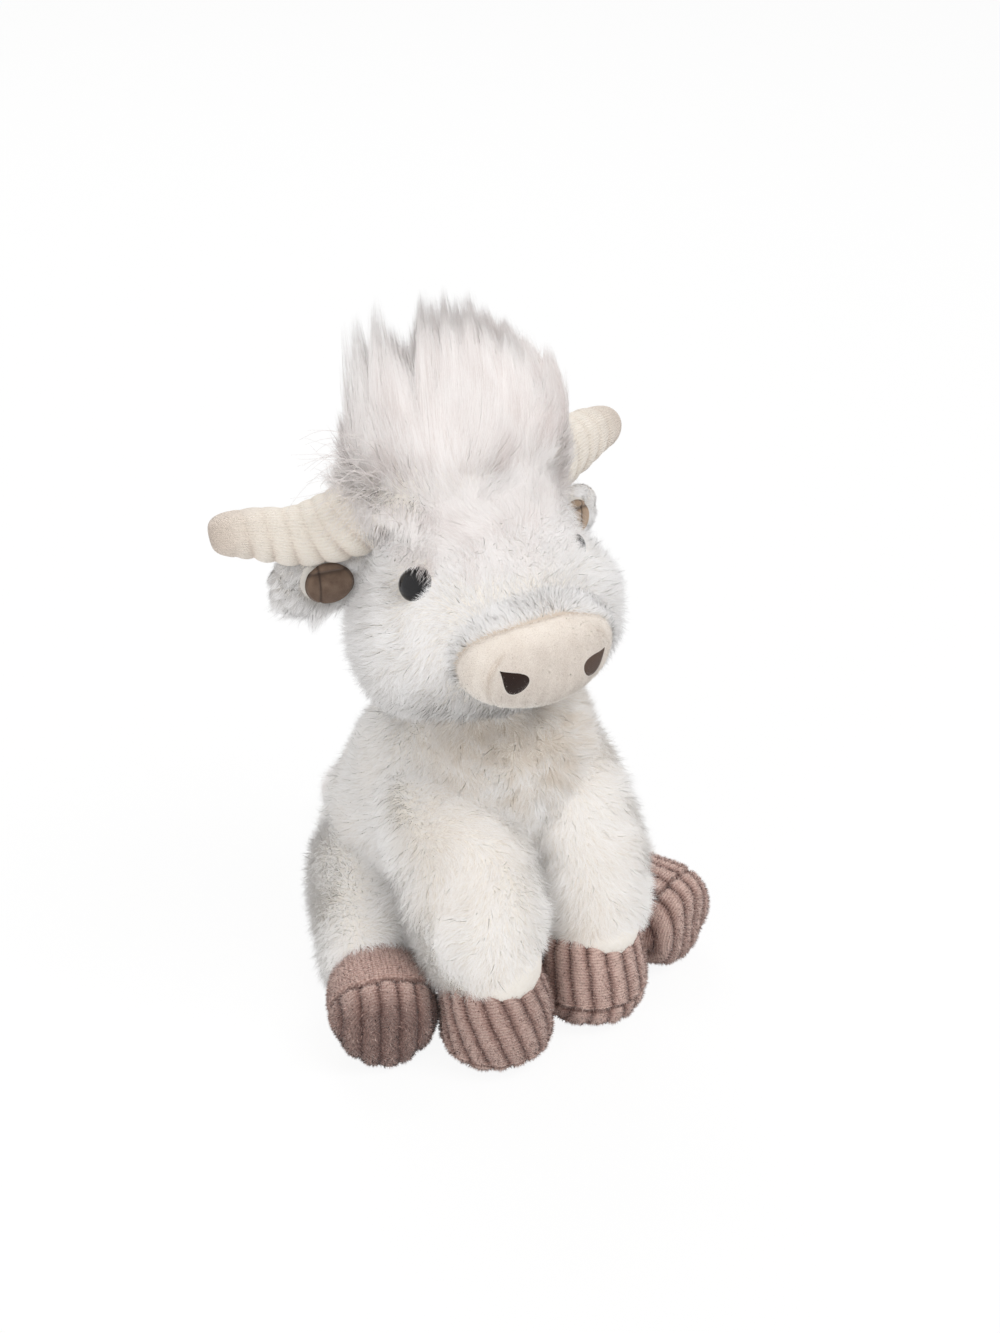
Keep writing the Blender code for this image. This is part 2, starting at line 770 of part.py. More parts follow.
def front_leg_stations(side, reach):
    """Stations of a front leg and its hoof, with the foot set forward by its reach."""
    def placed_at(point):
        forward = reach * (FRONT_ROOT.z - point.z) / FRONT_ROOT.z
        return mirrored(point - Y_AXIS * forward, side)

    below_ankle = FRONT_ANKLE.lerp(FRONT_TOE, ANKLE_OVERLAP_SHARE)
    places = (FRONT_ROOT, FRONT_SHOULDER, FRONT_KNEE, FRONT_SHIN, FRONT_ANKLE, below_ankle)
    leg = [(placed_at(place), FRONT_LEG_HALF_WIDTH * size, FRONT_LEG_HALF_DEPTH * size)
           for place, size in zip(places, FRONT_LEG_SHARES)]
    toe = FRONT_TOE - Z_AXIS * GROUND_TRIM
    hoof = [(placed_at(FRONT_ANKLE.lerp(toe, along)), FRONT_HOOF_HALF_WIDTH * size,
             FRONT_HOOF_HALF_LENGTH * size) for along, size in FRONT_HOOF_SHARES]
    return leg, hoof, placed_at(FRONT_ANKLE)


HIND_LEG_SHARES = (
    (0.00, 0.78, 0.80, 1.00),
    (0.26, 1.00, 1.02, 1.00),
    (0.58, 1.00, 0.94, 0.62),
    (0.84, 0.90, 0.82, 0.22),
    (1.00, 0.84, 0.75, 0.00),
    (1.20, 0.84, 0.75, -0.10),
)
HIND_HOOF_SHARES = (
    (-0.20, 0.92),
    (0.25, 0.98),
    (0.62, 1.00),
    (0.90, 0.86),
    (1.00, 0.62),
)


def hind_point(side, splay, reach, height):
    return mirrored(HIP, side) + Vector((side * math.sin(splay) * reach, -math.cos(splay) * reach,
                                         height - HIP.z))


def hind_leg_stations(side, splay):
    ankle_reach = HIND_TOE_REACH - HIND_HOOF_LENGTH
    leg = []
    for along, width, height, rise in HIND_LEG_SHARES:
        centre_height = HIND_ANKLE_HEIGHT + (HIP.z - HIND_ANKLE_HEIGHT) * rise
        leg.append((hind_point(side, splay, ankle_reach * along, centre_height),
                    HIND_LEG_HALF_WIDTH * width, HIND_LEG_HALF_HEIGHT * height))
    ankle = hind_point(side, splay, ankle_reach, HIND_ANKLE_HEIGHT)
    toe = hind_point(side, splay, HIND_TOE_REACH, HIND_TOE_HEIGHT)
    hoof = [(ankle.lerp(toe, along), HIND_HOOF_HALF_WIDTH * size, HIND_HOOF_HALF_HEIGHT * size)
            for along, size in HIND_HOOF_SHARES]
    return leg, hoof, ankle


def build_legs(torso_form, ground):
    for name, side in SIDES.items():
        stations = front_leg_stations(side, FRONT_REACH[name])
        joint = add_joint(f"shoulder_joint_{name}", mirrored(FRONT_SHOULDER, side))
        space = swept_cutter(f"torso_at_shoulder_{name}", torso_form, joint.location, -X_AXIS, FRONT_ANGLES)
        sole_point = Vector((0, 0, FRONT_SOLE_HEIGHT))
        build_leg(f"front_leg_{name}", stations, sole_point, -Z_AXIS, joint, space, ground)

        splay = HIND_SPLAY[name]
        stations = hind_leg_stations(side, splay)
        joint = add_joint(f"hip_joint_{name}", mirrored(HIP, side))
        space = swept_cutter(f"torso_at_hip_{name}", torso_form, joint.location, Z_AXIS * side, HIND_ANGLES)
        sole_point = hind_point(side, splay, HIND_TOE_REACH - HIND_SOLE_DEPTH, HIND_TOE_HEIGHT)
        forward = Vector((side * math.sin(splay), -math.cos(splay), 0))
        build_leg(f"hind_leg_{name}", stations, sole_point, forward, joint, space, ground)


# Tail
TAIL_SHARES = (
    (0.00, 1.10),
    (0.35, 1.05),
    (0.70, 0.92),
    (1.00, 0.85),
)
TUFT_SHARES = (
    (0.00, 0.80),
    (0.30, 1.04),
    (0.62, 1.00),
    (0.88, 0.66),
    (1.00, 0.34),
)


def build_tail(torso_skin):
    """Tail in a shallow socket of the torso's fur, as wide as its swing."""
    pivot = bend(TAIL_ROOT, TAIL_BEND, TAIL_END, TAIL_PIVOT_SHARE)
    joint = add_joint("tail_joint", pivot)
    stations = [(bend(TAIL_ROOT, TAIL_BEND, TAIL_END, along), TAIL_RADIUS * size, TAIL_RADIUS * size)
                for along, size in TAIL_SHARES]
    form = add_cutter("tail_form", loft("tail_form", stations, LEG_SEGMENTS), grow=SEAM_GAP)
    cut(torso_skin, swept_cutter("tail_socket", form, pivot, Z_AXIS, TAIL_ANGLES))
    tail = add_piece("tail", loft("tail", stations, LEG_SEGMENTS), "fur", joint)
    subdivide(tail, 1)
    down = (TUFT_END - TAIL_END).normalized()
    tuft_stations = [(TAIL_END.lerp(TUFT_END, along), TUFT_RADIUS * size, TUFT_RADIUS * size)
                     for along, size in TUFT_SHARES]
    tuft = add_piece("tail_tuft", loft("tail_tuft", tuft_stations, LEG_SEGMENTS), "long_fur", joint)
    subdivide(tuft, 1)
    trim(tail, "below_tail", TAIL_END, down)
    trim(tuft, "above_tuft", TAIL_END, -down)


# Assembly
def build_cow():
    ground = half_space("ground", Vector((0, 0, 0)), -Z_AXIS)
    torso_mesh = loft("torso_form", extended(torso_stations(), last=Z_AXIS * NECK_CLEARANCE), TORSO_SEGMENTS)
    torso_form = add_cutter("torso_form", torso_mesh, grow=SEAM_GAP)
    torso_skin = build_torso(ground)
    neck_pivot = Vector((0, -TORSO_LEAN, HEAD_LIFT - NECK_PIVOT_DROP))
    neck = add_joint("neck_joint", neck_pivot)
    neck_space = swept_cutter("torso_at_neck", torso_form, neck_pivot, X_AXIS, NOD_ANGLES)
    head_form, head_skin, head_stuffing = build_head(neck, neck_space)
    build_eyes(neck, head_form, head_skin, head_stuffing)
    build_nostrils(neck)
    horn_forms = build_horns(neck, head_form)
    build_ears(neck, head_form, horn_forms)
    build_forelock(neck, head_form, horn_forms)
    build_legs(torso_form, ground)
    build_tail(torso_skin)


build_cow()
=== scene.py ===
"""Looks of the sitting plush highland cow: fur as fine strands, ribbed cloth, velboa and bead eyes.

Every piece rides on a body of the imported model. Lengths are in metres, the cow sits on the
XY plane and faces -Y, and its own left side is +X. The stations of the soft forms repeat
those of the construction, because this script can't read it.
"""

import json
import math

import bpy
import numpy as np
from mathutils import Matrix, Vector
from mathutils.bvhtree import BVHTree
from mathutils.kdtree import KDTree


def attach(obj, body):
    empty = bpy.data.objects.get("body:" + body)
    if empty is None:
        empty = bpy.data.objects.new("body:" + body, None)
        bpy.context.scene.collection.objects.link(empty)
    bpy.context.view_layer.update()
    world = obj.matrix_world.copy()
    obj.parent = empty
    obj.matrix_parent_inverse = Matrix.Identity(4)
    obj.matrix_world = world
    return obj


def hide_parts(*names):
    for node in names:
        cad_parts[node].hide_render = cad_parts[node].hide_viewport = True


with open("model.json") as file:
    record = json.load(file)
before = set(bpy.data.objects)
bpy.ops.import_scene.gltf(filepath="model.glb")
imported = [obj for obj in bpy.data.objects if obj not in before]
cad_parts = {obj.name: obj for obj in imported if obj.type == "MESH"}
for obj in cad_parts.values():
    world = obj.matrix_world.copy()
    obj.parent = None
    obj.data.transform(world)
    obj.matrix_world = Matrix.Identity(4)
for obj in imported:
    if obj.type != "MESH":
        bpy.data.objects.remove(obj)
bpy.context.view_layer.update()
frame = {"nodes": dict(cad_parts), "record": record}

SIDES = {"left": 1, "right": -1}
MM = 0.001
DOWN, BACK = np.array((0, 0, -1.0)), Vector((0, 1, 0))
FLOOR_GAP = 0.6 * MM
RIPPLE_WAVES, RIPPLE_SPREAD = 14, 3.2
RAY_START = -0.2
CAMERA_PLACE, CAMERA_LENS, CAMERA_SENSOR = (-0.383, -0.719, 0.588), 67.03, 36
CAMERA_TURN, CAMERA_DROP = math.radians(29.6), math.radians(30)
FLOOR_HALF, FLOOR_DROP, FLOOR_WHITE, WORLD_LIGHT = 4, 0.2 * MM, 0.92, 0.38

# Stations of the soft forms
TORSO_HEIGHT, TORSO_LEAN = 0.142, 0.038
TORSO = [(0.059 * w, 0.056 * d, -TORSO_LEAN * lean, TORSO_HEIGHT * h) for h, w, d, lean in (
    (0.000, 0.64, 0.64, -0.06), (0.055, 0.90, 0.92, -0.06), (0.230, 0.98, 1.02, -0.04),
    (0.420, 0.96, 0.96, 0.30), (0.600, 0.92, 0.84, 0.68), (0.740, 0.82, 0.74, 0.84),
    (0.870, 0.64, 0.66, 0.90), (1.000, 0.30, 0.34, 0.92))]
HEAD_BASE, HEAD_HEIGHT, HEAD_SETBACK = 0.117, 0.095, 0.033
CROWN = np.array([0, 0, HEAD_BASE + HEAD_HEIGHT])
HEAD = [(0.0548 * w, 0.0447 * d, 0.012 * slope - HEAD_SETBACK, HEAD_BASE + HEAD_HEIGHT * h)
        for h, w, d, slope in (
    (0.000, 0.46, 0.46, 0.55), (0.080, 0.76, 0.64, 0.55), (0.220, 0.96, 0.84, 0.45),
    (0.380, 1.08, 1.06, 0.05), (0.530, 0.99, 1.00, 0.25), (0.680, 0.70, 0.77, 0.70),
    (0.880, 0.64, 0.66, 1.20), (1.000, 0.34, 0.36, 1.50))]
MUZZLE_HEIGHT, MUZZLE_FRONT, MUZZLE_LENGTH = 0.159, 0.086, 0.040
MUZZLE = [(0.0328 * s, 0.0210 * s, MUZZLE_LENGTH * (1 - a) - MUZZLE_FRONT)
          for a, s in ((0.00, 0.84), (0.30, 0.98), (0.62, 1.02), (0.86, 0.84), (1.00, 0.46))]
HORN_RADIUS = 0.0120
HORN_POINTS = [np.array(p) + CROWN for p in
               ((0.010, -0.015, -0.020), (0.055, -0.002, -0.0125), (0.086, 0.012, -0.023))]
HORN = ((0.00, 0.80), (0.14, 1.04), (0.36, 1.04), (0.66, 0.86), (0.93, 0.68), (1.00, 0.44))
EAR_ROOT, EAR_TIP = CROWN + (0.028, -0.012, -0.037), CROWN + (0.068, 0.001, -0.043)
EAR = ((0.00, 0.66), (0.30, 0.92), (0.60, 1.06), (0.85, 0.92), (1.00, 0.50))
FORELOCK = [(0.0462 * w, 0.0267 * d, -0.013 * sweep, 0.190 + 0.081 * h) for h, w, d, sweep in (
    (0.00, 0.80, 0.80, 0.00), (0.18, 1.02, 1.04, 0.00), (0.40, 1.06, 1.06, 0.12),
    (0.62, 0.98, 0.98, 0.40), (0.86, 0.82, 0.82, 0.82), (1.00, 0.46, 0.44, 1.05))]
FRONT_POINTS = [np.array(p) for p in (
    (0.0210, -0.023, 0.102), (0.0245, -0.041, 0.088), (0.0245, -0.059, 0.063),
    (0.0240, -0.068, 0.046), (0.0225, -0.073, 0.034))]
FRONT_TOE = np.array((0.0220, -0.078, 0.0))
FRONT_REACH = {"left": 0.0, "right": 0.006}
FRONT_SIZES = (0.76, 1.00, 1.00, 1.00, 0.96, 0.94)
FRONT_HOOF = ((-0.20, 0.90), (0.30, 1.00), (0.72, 1.02), (0.94, 0.86), (1.00, 0.66))
HIP = np.array((0.032, 0.016, 0.042))
HIND_SPLAY = {"left": math.radians(22), "right": math.radians(19)}
HIND_TOE_REACH, HIND_HOOF_LENGTH, HIND_SOLE_DEPTH = 0.097, 0.031, 0.014
HIND_ANKLE_HEIGHT, HIND_TOE_HEIGHT = 0.0200, 0.0180
HIND_LEG = ((0.00, 0.78, 0.80, 1.00), (0.26, 1.00, 1.02, 1.00), (0.58, 1.00, 0.94, 0.62),
            (0.84, 0.90, 0.82, 0.22), (1.00, 0.84, 0.75, 0.00), (1.20, 0.84, 0.75, -0.10))
HIND_HOOF = ((-0.20, 0.92), (0.25, 0.98), (0.62, 1.00), (0.90, 0.86), (1.00, 0.62))
TAIL_POINTS = [np.array(p) for p in ((0, 0.0465, 0.042), (0, 0.070, 0.036), (0, 0.080, 0.022))]
TUFT_END = np.array((0, 0.089, 0.008))


# Small vector helpers on arrays
def unit(vectors):
    return vectors / np.maximum(np.linalg.norm(vectors, axis=-1, keepdims=True), 1e-12)


def mirrored(point, side):
    return np.array(point) * (side, 1, 1)


def rows_of(x, y, z):
    """Points from three coordinates, each one number or an array."""
    return np.stack(np.broadcast_arrays(x, y, z), -1)


def ripple(points, size, seed):
    """Smooth noise of about -1 to 1 at each point, with features of about the given size."""
    rng = np.random.default_rng(seed)
    waves = unit(rng.normal(size=(RIPPLE_WAVES, 3))) * rng.uniform(0.6, 1.5, (RIPPLE_WAVES, 1))
    waves = waves * math.tau / size / 2
    total = np.sin(points.reshape(-1, 3) @ waves.T + rng.uniform(0, math.tau, RIPPLE_WAVES)).sum(-1)
    return (total / RIPPLE_SPREAD).reshape(points.shape[:-1])


def smooth(edge0, edge1, x):
    t = np.clip((x - edge0) / (edge1 - edge0), 0, 1)
    return t * t * (3 - 2 * t)


def bell(place, middle, width):
    return np.exp(-((place - middle) / width) ** 2)


def spline(points, count):
    """Cubic B-spline through control rows, held at both ends."""
    points = np.asarray(points, float)
    points = np.vstack([points[:1]] * 2 + [points] + [points[-1:]] * 2)
    place = np.linspace(0, len(points) - 3, count)
    index = np.minimum(place.astype(int), len(points) - 4)
    f = (place - index)[:, None]
    return ((1 - f) ** 3 * points[index] + (3 * f ** 3 - 6 * f ** 2 + 4) * points[index + 1]
            + (3 * f * (1 + f - f * f) + 1) * points[index + 2] + f ** 3 * points[index + 3]) / 6


# Tube surfaces: a grid of points round a bent axis
def tube(stations, side_axis=(1, 0, 0), rows=48, columns=64, inset=0.0, fullness=0.96, caps=(True, True)):
    """Grid of (rows, columns) points through stations of (centre, half side, half across)."""
    table = [(*centre, side, across) for centre, side, across in stations]
    if caps[0]:
        table.insert(0, (*stations[0][0], 0, 0))
    if caps[1]:
        table.append((*stations[-1][0], 0, 0))
    table = spline(table, rows)
    centre, sizes = table[:, :3], table[:, 3:] * fullness
    ends = np.gradient(centre, axis=0)
    still = np.linalg.norm(ends, axis=1) < 1e-7
    along = ends.copy()
    good = np.flatnonzero(~still)
    for row in np.flatnonzero(still):
        along[row] = ends[good[np.argmin(abs(good - row))]]
    along = unit(along)
    side_axis = np.array(side_axis, float)
    side = unit(side_axis - along * (along @ side_axis)[:, None])
    across = np.cross(along, side)
    turn = np.arange(columns) / columns * math.tau
    sizes = np.where(sizes > inset, sizes - inset, sizes * 0.0)
    grid = (centre[:, None] + side[:, None] * (sizes[:, :1] * np.cos(turn))[..., None]
            + across[:, None] * (sizes[:, 1:] * np.sin(turn))[..., None])
    keep = (sizes.min(1) > 1e-6)
    keep[0] = keep[-1] = True
    first, last = np.flatnonzero(keep)[[1, -2]] if caps[0] and caps[1] else np.flatnonzero(keep)[[0, -1]]
    grid = grid[first:last + 1]
    return {"grid": grid, "turn": turn, "centre": centre[first:last + 1], "side": side[first:last + 1]}


def grid_normals(grid):
    """Outward unit normals of a grid that closes round its columns."""
    down = np.gradient(grid, axis=0)
    round_ = np.roll(grid, -1, axis=1) - np.roll(grid, 1, axis=1)
    return unit(np.cross(round_, down))


def linked(name, data):
    item = bpy.data.objects.new(name, data)
    bpy.context.scene.collection.objects.link(item)
    return item


def grid_object(name, grid, cap_start=True, cap_end=True):
    """Mesh object of a grid, with each open end closed by a fan to its middle."""
    rows, columns = grid.shape[:2]
    points = grid.reshape(-1, 3)
    index = np.arange(rows * columns).reshape(rows, columns)
    after = np.roll(index, -1, axis=1)
    faces = np.stack([index[:-1], after[:-1], after[1:], index[1:]], -1).reshape(-1, 4).tolist()
    extra = []
    for use, ring, flip in ((cap_start, index[0], True), (cap_end, index[-1], False)):
        if not use:
            continue
        middle = len(points) + len(extra)
        extra.append(points[ring].mean(0))
        for a, b in zip(ring.tolist(), np.roll(ring, -1).tolist()):
            faces.append((b, a, middle) if flip else (a, b, middle))
    if extra:
        points = np.vstack([points, extra])
    mesh = bpy.data.meshes.new(name)
    mesh.from_pydata(points.tolist(), [], faces)
    mesh.shade_smooth()
    return linked(name, mesh)


def place_piece(item, finish, body, node):
    """Gives a piece its material and its body, and hides the node it replaces."""
    item.data.materials.append(finish)
    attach(item, body)
    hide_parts(node)


def set_values(item, name, values):
    """Stores one number per vertex; the middle of an end's fan takes the mean of that end's ring."""
    ends = values.reshape(len(values), -1)[[0, -1]].mean(1)
    extra = len(item.data.vertices) - values.size
    whole = np.concatenate([values.ravel(), ends[len(ends) - extra:]]).astype(np.float32)
    item.data.attributes.new(name, "FLOAT", "POINT").data.foreach_set("value", whole)


def tree_of(item):
    bpy.context.view_layer.update()
    return BVHTree.FromObject(item, bpy.context.evaluated_depsgraph_get())


def depth_inside(tree, points):
    """How deep each point lies inside a closed form; negative outside."""
    depths = np.empty(len(points))
    for index, point in enumerate(points.tolist()):
        near, normal, _, distance = tree.find_nearest(point)
        depths[index] = distance if (Vector(point) - near).dot(normal) < 0 else -distance
    return depths


# Node materials
def material(name, roughness=0.8, **values):
    made = bpy.data.materials.new(name)
    made.use_nodes = True
    shader = made.node_tree.nodes["Principled BSDF"]
    shader.inputs["Roughness"].default_value = roughness
    for socket, value in values.items():
        shader.inputs[socket.replace("_", " ")].default_value = value
    return made, made.node_tree, shader


def add_node(tree, kind, inputs=(), **settings):
    node = tree.nodes.new(kind)
    for key, value in settings.items():
        setattr(node, key, value)
    for socket, value in dict(inputs).items():
        if isinstance(value, bpy.types.NodeSocket):
            tree.links.new(value, node.inputs[socket])
        else:
            node.inputs[socket].default_value = value
    return node


def ramp(tree, factor, stops):
    node = add_node(tree, "ShaderNodeValToRGB", {"Fac": factor})
    elements = node.color_ramp.elements
    while len(elements) < len(stops):
        elements.new(0.5)
    for element, (place, colour) in zip(elements, stops):
        element.position = place
        element.color = (*colour, 1)
    return node.outputs["Color"]


def maths(tree, operation, a, b=0.0, c=0.0):
    return add_node(tree, "ShaderNodeMath", {0: a, 1: b, 2: c}, operation=operation).outputs[0]


def mix_colour(tree, factor, a, b, blend_type="MIX"):
    node = add_node(tree, "ShaderNodeMix", data_type="RGBA", blend_type=blend_type)
    for socket, value in ((0, factor), (6, a), (7, b)):
        if isinstance(value, bpy.types.NodeSocket):
            tree.links.new(value, node.inputs[socket])
        else:
            node.inputs[socket].default_value = value if socket == 0 else (*value, 1)
    return node.outputs[2]


def noise(tree, scale, detail=2.0):
    """Noise in the object's own coordinates."""
    spot = add_node(tree, "ShaderNodeTexCoord").outputs["Object"]
    made = add_node(tree, "ShaderNodeTexNoise", {"Vector": spot, "Scale": scale, "Detail": detail})
    return made.outputs["Fac"]


def stored(tree, name):
    """Numbers that set_values stored on the vertices."""
    return add_node(tree, "ShaderNodeAttribute", attribute_name=name).outputs["Fac"]


def finish_material(tree, shader, colour, height, strength, depth):
    """Links the colour and a bump of the given height to the shader."""
    tree.links.new(colour, shader.inputs["Base Color"])
    bump = add_node(tree, "ShaderNodeBump", {"Height": height, "Strength": strength, "Distance": depth})
    tree.links.new(bump.outputs[0], shader.inputs["Normal"])


def seen_rays(tree):
    """1 for rays of the camera, of reflections and of clear pieces."""
    rays = add_node(tree, "ShaderNodeLightPath").outputs
    seen = maths(tree, "MAXIMUM", rays["Is Camera Ray"], rays["Is Glossy Ray"])
    return maths(tree, "MAXIMUM", seen, rays["Is Transmission Ray"])


def strand_material(name, roughness, root_shade_along, by_tone):
    """Product of a colour by the place along the strand, darker at the root as painted shade, and one by its
    tone, both in the strand map.
    """
    made, tree, shader = material(name, roughness, Sheen_Weight=0.2, Sheen_Roughness=0.5)
    place = add_node(tree, "ShaderNodeUVMap", uv_map="strand")
    parts = add_node(tree, "ShaderNodeSeparateXYZ", {0: place.outputs[0]})
    colours = [ramp(tree, parts.outputs[axis], stops) for axis, stops in (("Y", root_shade_along), ("X", by_tone))]
    tree.links.new(mix_colour(tree, 1.0, *colours, "MULTIPLY"), shader.inputs["Base Color"])
    return made


# Fur colours along the strand from root to tip, the root darker as painted shade deep in the pile, and a last
# colour at tone 0 that serves darker random tone and painted shade.
def fur_material(name, root, middle, tip, tone_and_shade_tint):
    return strand_material(name, 0.7, [(0.0, root), (0.45, middle), (1.0, tip)],
                           [(0.0, tone_and_shade_tint), (0.55, (1, 1, 1))])


def fuzz_material(name, valley, crest, tip):
    """Pile colour from its own tone, a little darker at the root as painted shade."""
    return strand_material(name, 0.85, [(0.0, (0.7, 0.66, 0.64)), (0.6, (1, 1, 1))],
                           [(0.05, valley), (0.5, crest), (0.95, tip)])


def speckled_material(name, dark, light, roughness, scale, detail=4.0, strength=0.5, depth=0.5 * MM):
    """Two tones in a fine noise, which also gives the bump."""
    made, tree, shader = material(name, roughness)
    fine = noise(tree, scale, detail)
    finish_material(tree, shader, ramp(tree, fine, [(0.3, dark), (0.7, light)]), fine, strength, depth)
    return made


# Fur strands
def add_strand_maps(mesh, places):
    """Stores one place per corner in the strand map, and again in the map for baking."""
    for map_name in ("strand", "OFBake"):
        mesh.uv_layers.new(name=map_name).data.foreach_set("uv", places.astype(np.float32).ravel())
    mesh.uv_layers.active = mesh.uv_layers["strand"]


def fur_strands(name, roots, normals, flow, length, lean, tone, lock, seed, width=0.28, clump=0.05, pull=0.38,
                segments=2, curl=0.15, jitter=0.24, vary=0.0, lift=0.0, grain=0.12):
    """Mesh of flat tapered strands that grow from the roots and lean along the flow."""
    rng = np.random.default_rng(seed)
    count = len(roots)
    length = length * rng.uniform(0.75, 1.12, count)
    lean = lean * rng.uniform(0.8, 1.2, count)
    stray = rng.normal(size=(count, 3)) * jitter
    grow = unit(normals * np.cos(lean)[:, None] + flow * np.sin(lean)[:, None] + stray)
    start = unit(normals * 0.75 + grow * 0.55)
    tips = roots + grow * length[:, None]

    # Tips of one clump draw together
    pick = rng.choice(count, max(1, int(count * clump)), replace=False)
    clumps = KDTree(len(pick))
    for index, point in enumerate(roots[pick].tolist()):
        clumps.insert(point, index)
    clumps.balance()
    nearest = np.array([clumps.find(point)[1] for point in roots.tolist()])
    reach = rng.uniform(1 - vary, 1 + vary * 0.6, (len(pick), 1)) * length[pick][:, None]
    heads = roots[pick] + unit(grow[pick] + rng.normal(size=(len(pick), 3)) * vary * 0.4) * reach
    centres = heads[nearest] + rng.normal(size=(count, 3)) * (0.04 * length)[:, None]
    pull = pull * rng.uniform(0.3, 1.0, count)[:, None]
    tips = tips * (1 - pull) + centres * pull
    if lock is not None:
        ends, hold = lock[0], lock[1][:, None]
        tips = tips * (1 - hold) + (roots + (ends - roots) * rng.uniform(0.62, 1.0, (count, 1))) * hold

    # Each strand is a quadratic curve with a little curl
    elbow = roots + start * (length * 0.5)[:, None]
    share = np.linspace(0, 1, segments + 1)[None, :, None]
    spine = bend(roots[:, None], elbow[:, None], tips[:, None], share)
    wave = unit(rng.normal(size=(count, 3)))[:, None] * np.sin(share * rng.uniform(2, 5, (count, 1, 1)))
    spine = spine + wave * share * (curl * length)[:, None, None] * 0.5

    direction = unit(tips - roots)
    flat = unit(np.cross(direction, normals) + rng.normal(size=(count, 3)) * 0.35)
    shading = unit(normals * 0.85 + tangent(normals, direction) * 0.4
                   + rng.normal(size=(count, 3)) * grain + np.array((0, 0, lift)))
    taper = (1 - np.linspace(0, 1, segments + 1)[:segments]) ** 0.6
    width = width * MM * rng.uniform(0.7, 1.3, count)
    half = (flat * (width / 2)[:, None])[:, None] * taper[None, :, None]
    left, right = spine[:, :segments] - half, spine[:, :segments] + half
    points = np.empty((count, 2 * segments + 1, 3))
    points[:, 0:2 * segments:2], points[:, 1:2 * segments:2], points[:, -1] = left, right, spine[:, -1]

    corners = []
    for step in range(segments - 1):
        corners += [2 * step, 2 * step + 1, 2 * step + 3, 2 * step + 2]
    corners += [2 * segments - 2, 2 * segments - 1, 2 * segments]
    loops = (np.arange(count)[:, None] * (2 * segments + 1) + np.array(corners)).ravel()
    totals = np.tile([4] * (segments - 1) + [3], count)
    starts = np.concatenate([[0], np.cumsum(totals)[:-1]])
    mesh = bpy.data.meshes.new(name)
    mesh.vertices.add(count * (2 * segments + 1))
    mesh.vertices.foreach_set("co", points.astype(np.float32).ravel())
    mesh.loops.add(len(loops))
    mesh.loops.foreach_set("vertex_index", loops.astype(np.int32))
    mesh.polygons.add(len(totals))
    mesh.polygons.foreach_set("loop_start", starts.astype(np.int32))
    mesh.update(calc_edges=True)

    if tone is None:
        tone = 0.5 + 0.3 * ripple(roots, 0.02, seed + 1) + rng.normal(size=count) * 0.12
    tone = np.clip(tone, 0.01, 0.98)
    level = np.concatenate([np.repeat(np.arange(segments) / segments, 2), [1.0]])
    across = np.concatenate([np.tile([0.0, 0.004], segments), [0.002]])
    place = np.empty((count, 2 * segments + 1, 2), np.float32)
    place[..., 0], place[..., 1] = tone[:, None] + across, level * 0.98 + 0.01
    add_strand_maps(mesh, place.reshape(-1, 2)[loops])
    mesh.normals_split_custom_set_from_vertices(np.repeat(shading, 2 * segments + 1, axis=0).tolist())
    return linked(name, mesh)


def scatter(grid, count, seed):
    """Even random roots on a grid, with normals and the row and column shares of each."""
    rng = np.random.default_rng(seed)
    rows, columns = grid.shape[:2]
    wrapped = np.concatenate([grid, grid[:, :1]], 1)
    edge_a = np.linalg.norm(wrapped[1:, :-1] - wrapped[:-1, :-1], axis=-1)
    edge_b = np.linalg.norm(wrapped[:-1, 1:] - wrapped[:-1, :-1], axis=-1)
    edge_c = np.linalg.norm(wrapped[1:, 1:] - wrapped[1:, :-1], axis=-1)
    area = edge_a * (edge_b + edge_c) / 2
    chance = np.cumsum(area.ravel() / area.sum())
    picks = np.searchsorted(chance, (np.arange(count) + rng.uniform(size=count)) / count)
    picks = np.minimum(picks, area.size - 1)
    row, column = np.divmod(picks, columns)
    u, v = rng.uniform(size=(2, count, 1))
    normals = grid_normals(grid)
    normals = np.concatenate([normals, normals[:, :1]], 1)

    def between(field):
        upper = field[row, column] * (1 - u) + field[row, column + 1] * u
        lower = field[row + 1, column] * (1 - u) + field[row + 1, column + 1] * u
        return upper * (1 - v) + lower * v

    shares = (row + v[:, 0]) / (rows - 1), (column + u[:, 0]) / columns
    return between(wrapped), unit(between(normals)), *shares


def tangent(vectors, normals):
    return unit(vectors - normals * (vectors * normals).sum(-1, keepdims=True))


def swirl(flow, normals, roots, size, angle, seed):
    """Turns a flow in the surface by smooth noise."""
    turn = (ripple(roots, size, seed) * angle)[:, None]
    return flow * np.cos(turn) + np.cross(normals, flow) * np.sin(turn)


# Stations of each form
def level_stations(table):
    return [((0, y, z), w, d) for w, d, y, z in table]


def front_stations(side, reach):
    def placed(point):
        forward = reach * (FRONT_POINTS[0][2] - point[2]) / FRONT_POINTS[0][2]
        return mirrored(point - np.array((0, forward, 0)), side)

    ankle = FRONT_POINTS[-1]
    points = FRONT_POINTS + [ankle + (FRONT_TOE - ankle) * 0.3]
    leg = [(placed(p), 0.0250 * s, 0.0270 * s) for p, s in zip(points, FRONT_SIZES)]
    hoof = [(placed(ankle + (FRONT_TOE - ankle) * a), 0.0225 * s, 0.0220 * s) for a, s in FRONT_HOOF]
    return leg, hoof


def hind_point(side, splay, reach, height):
    away = np.array((side * math.sin(splay) * reach, -math.cos(splay) * reach, height - HIP[2]))
    return mirrored(HIP, side) + away


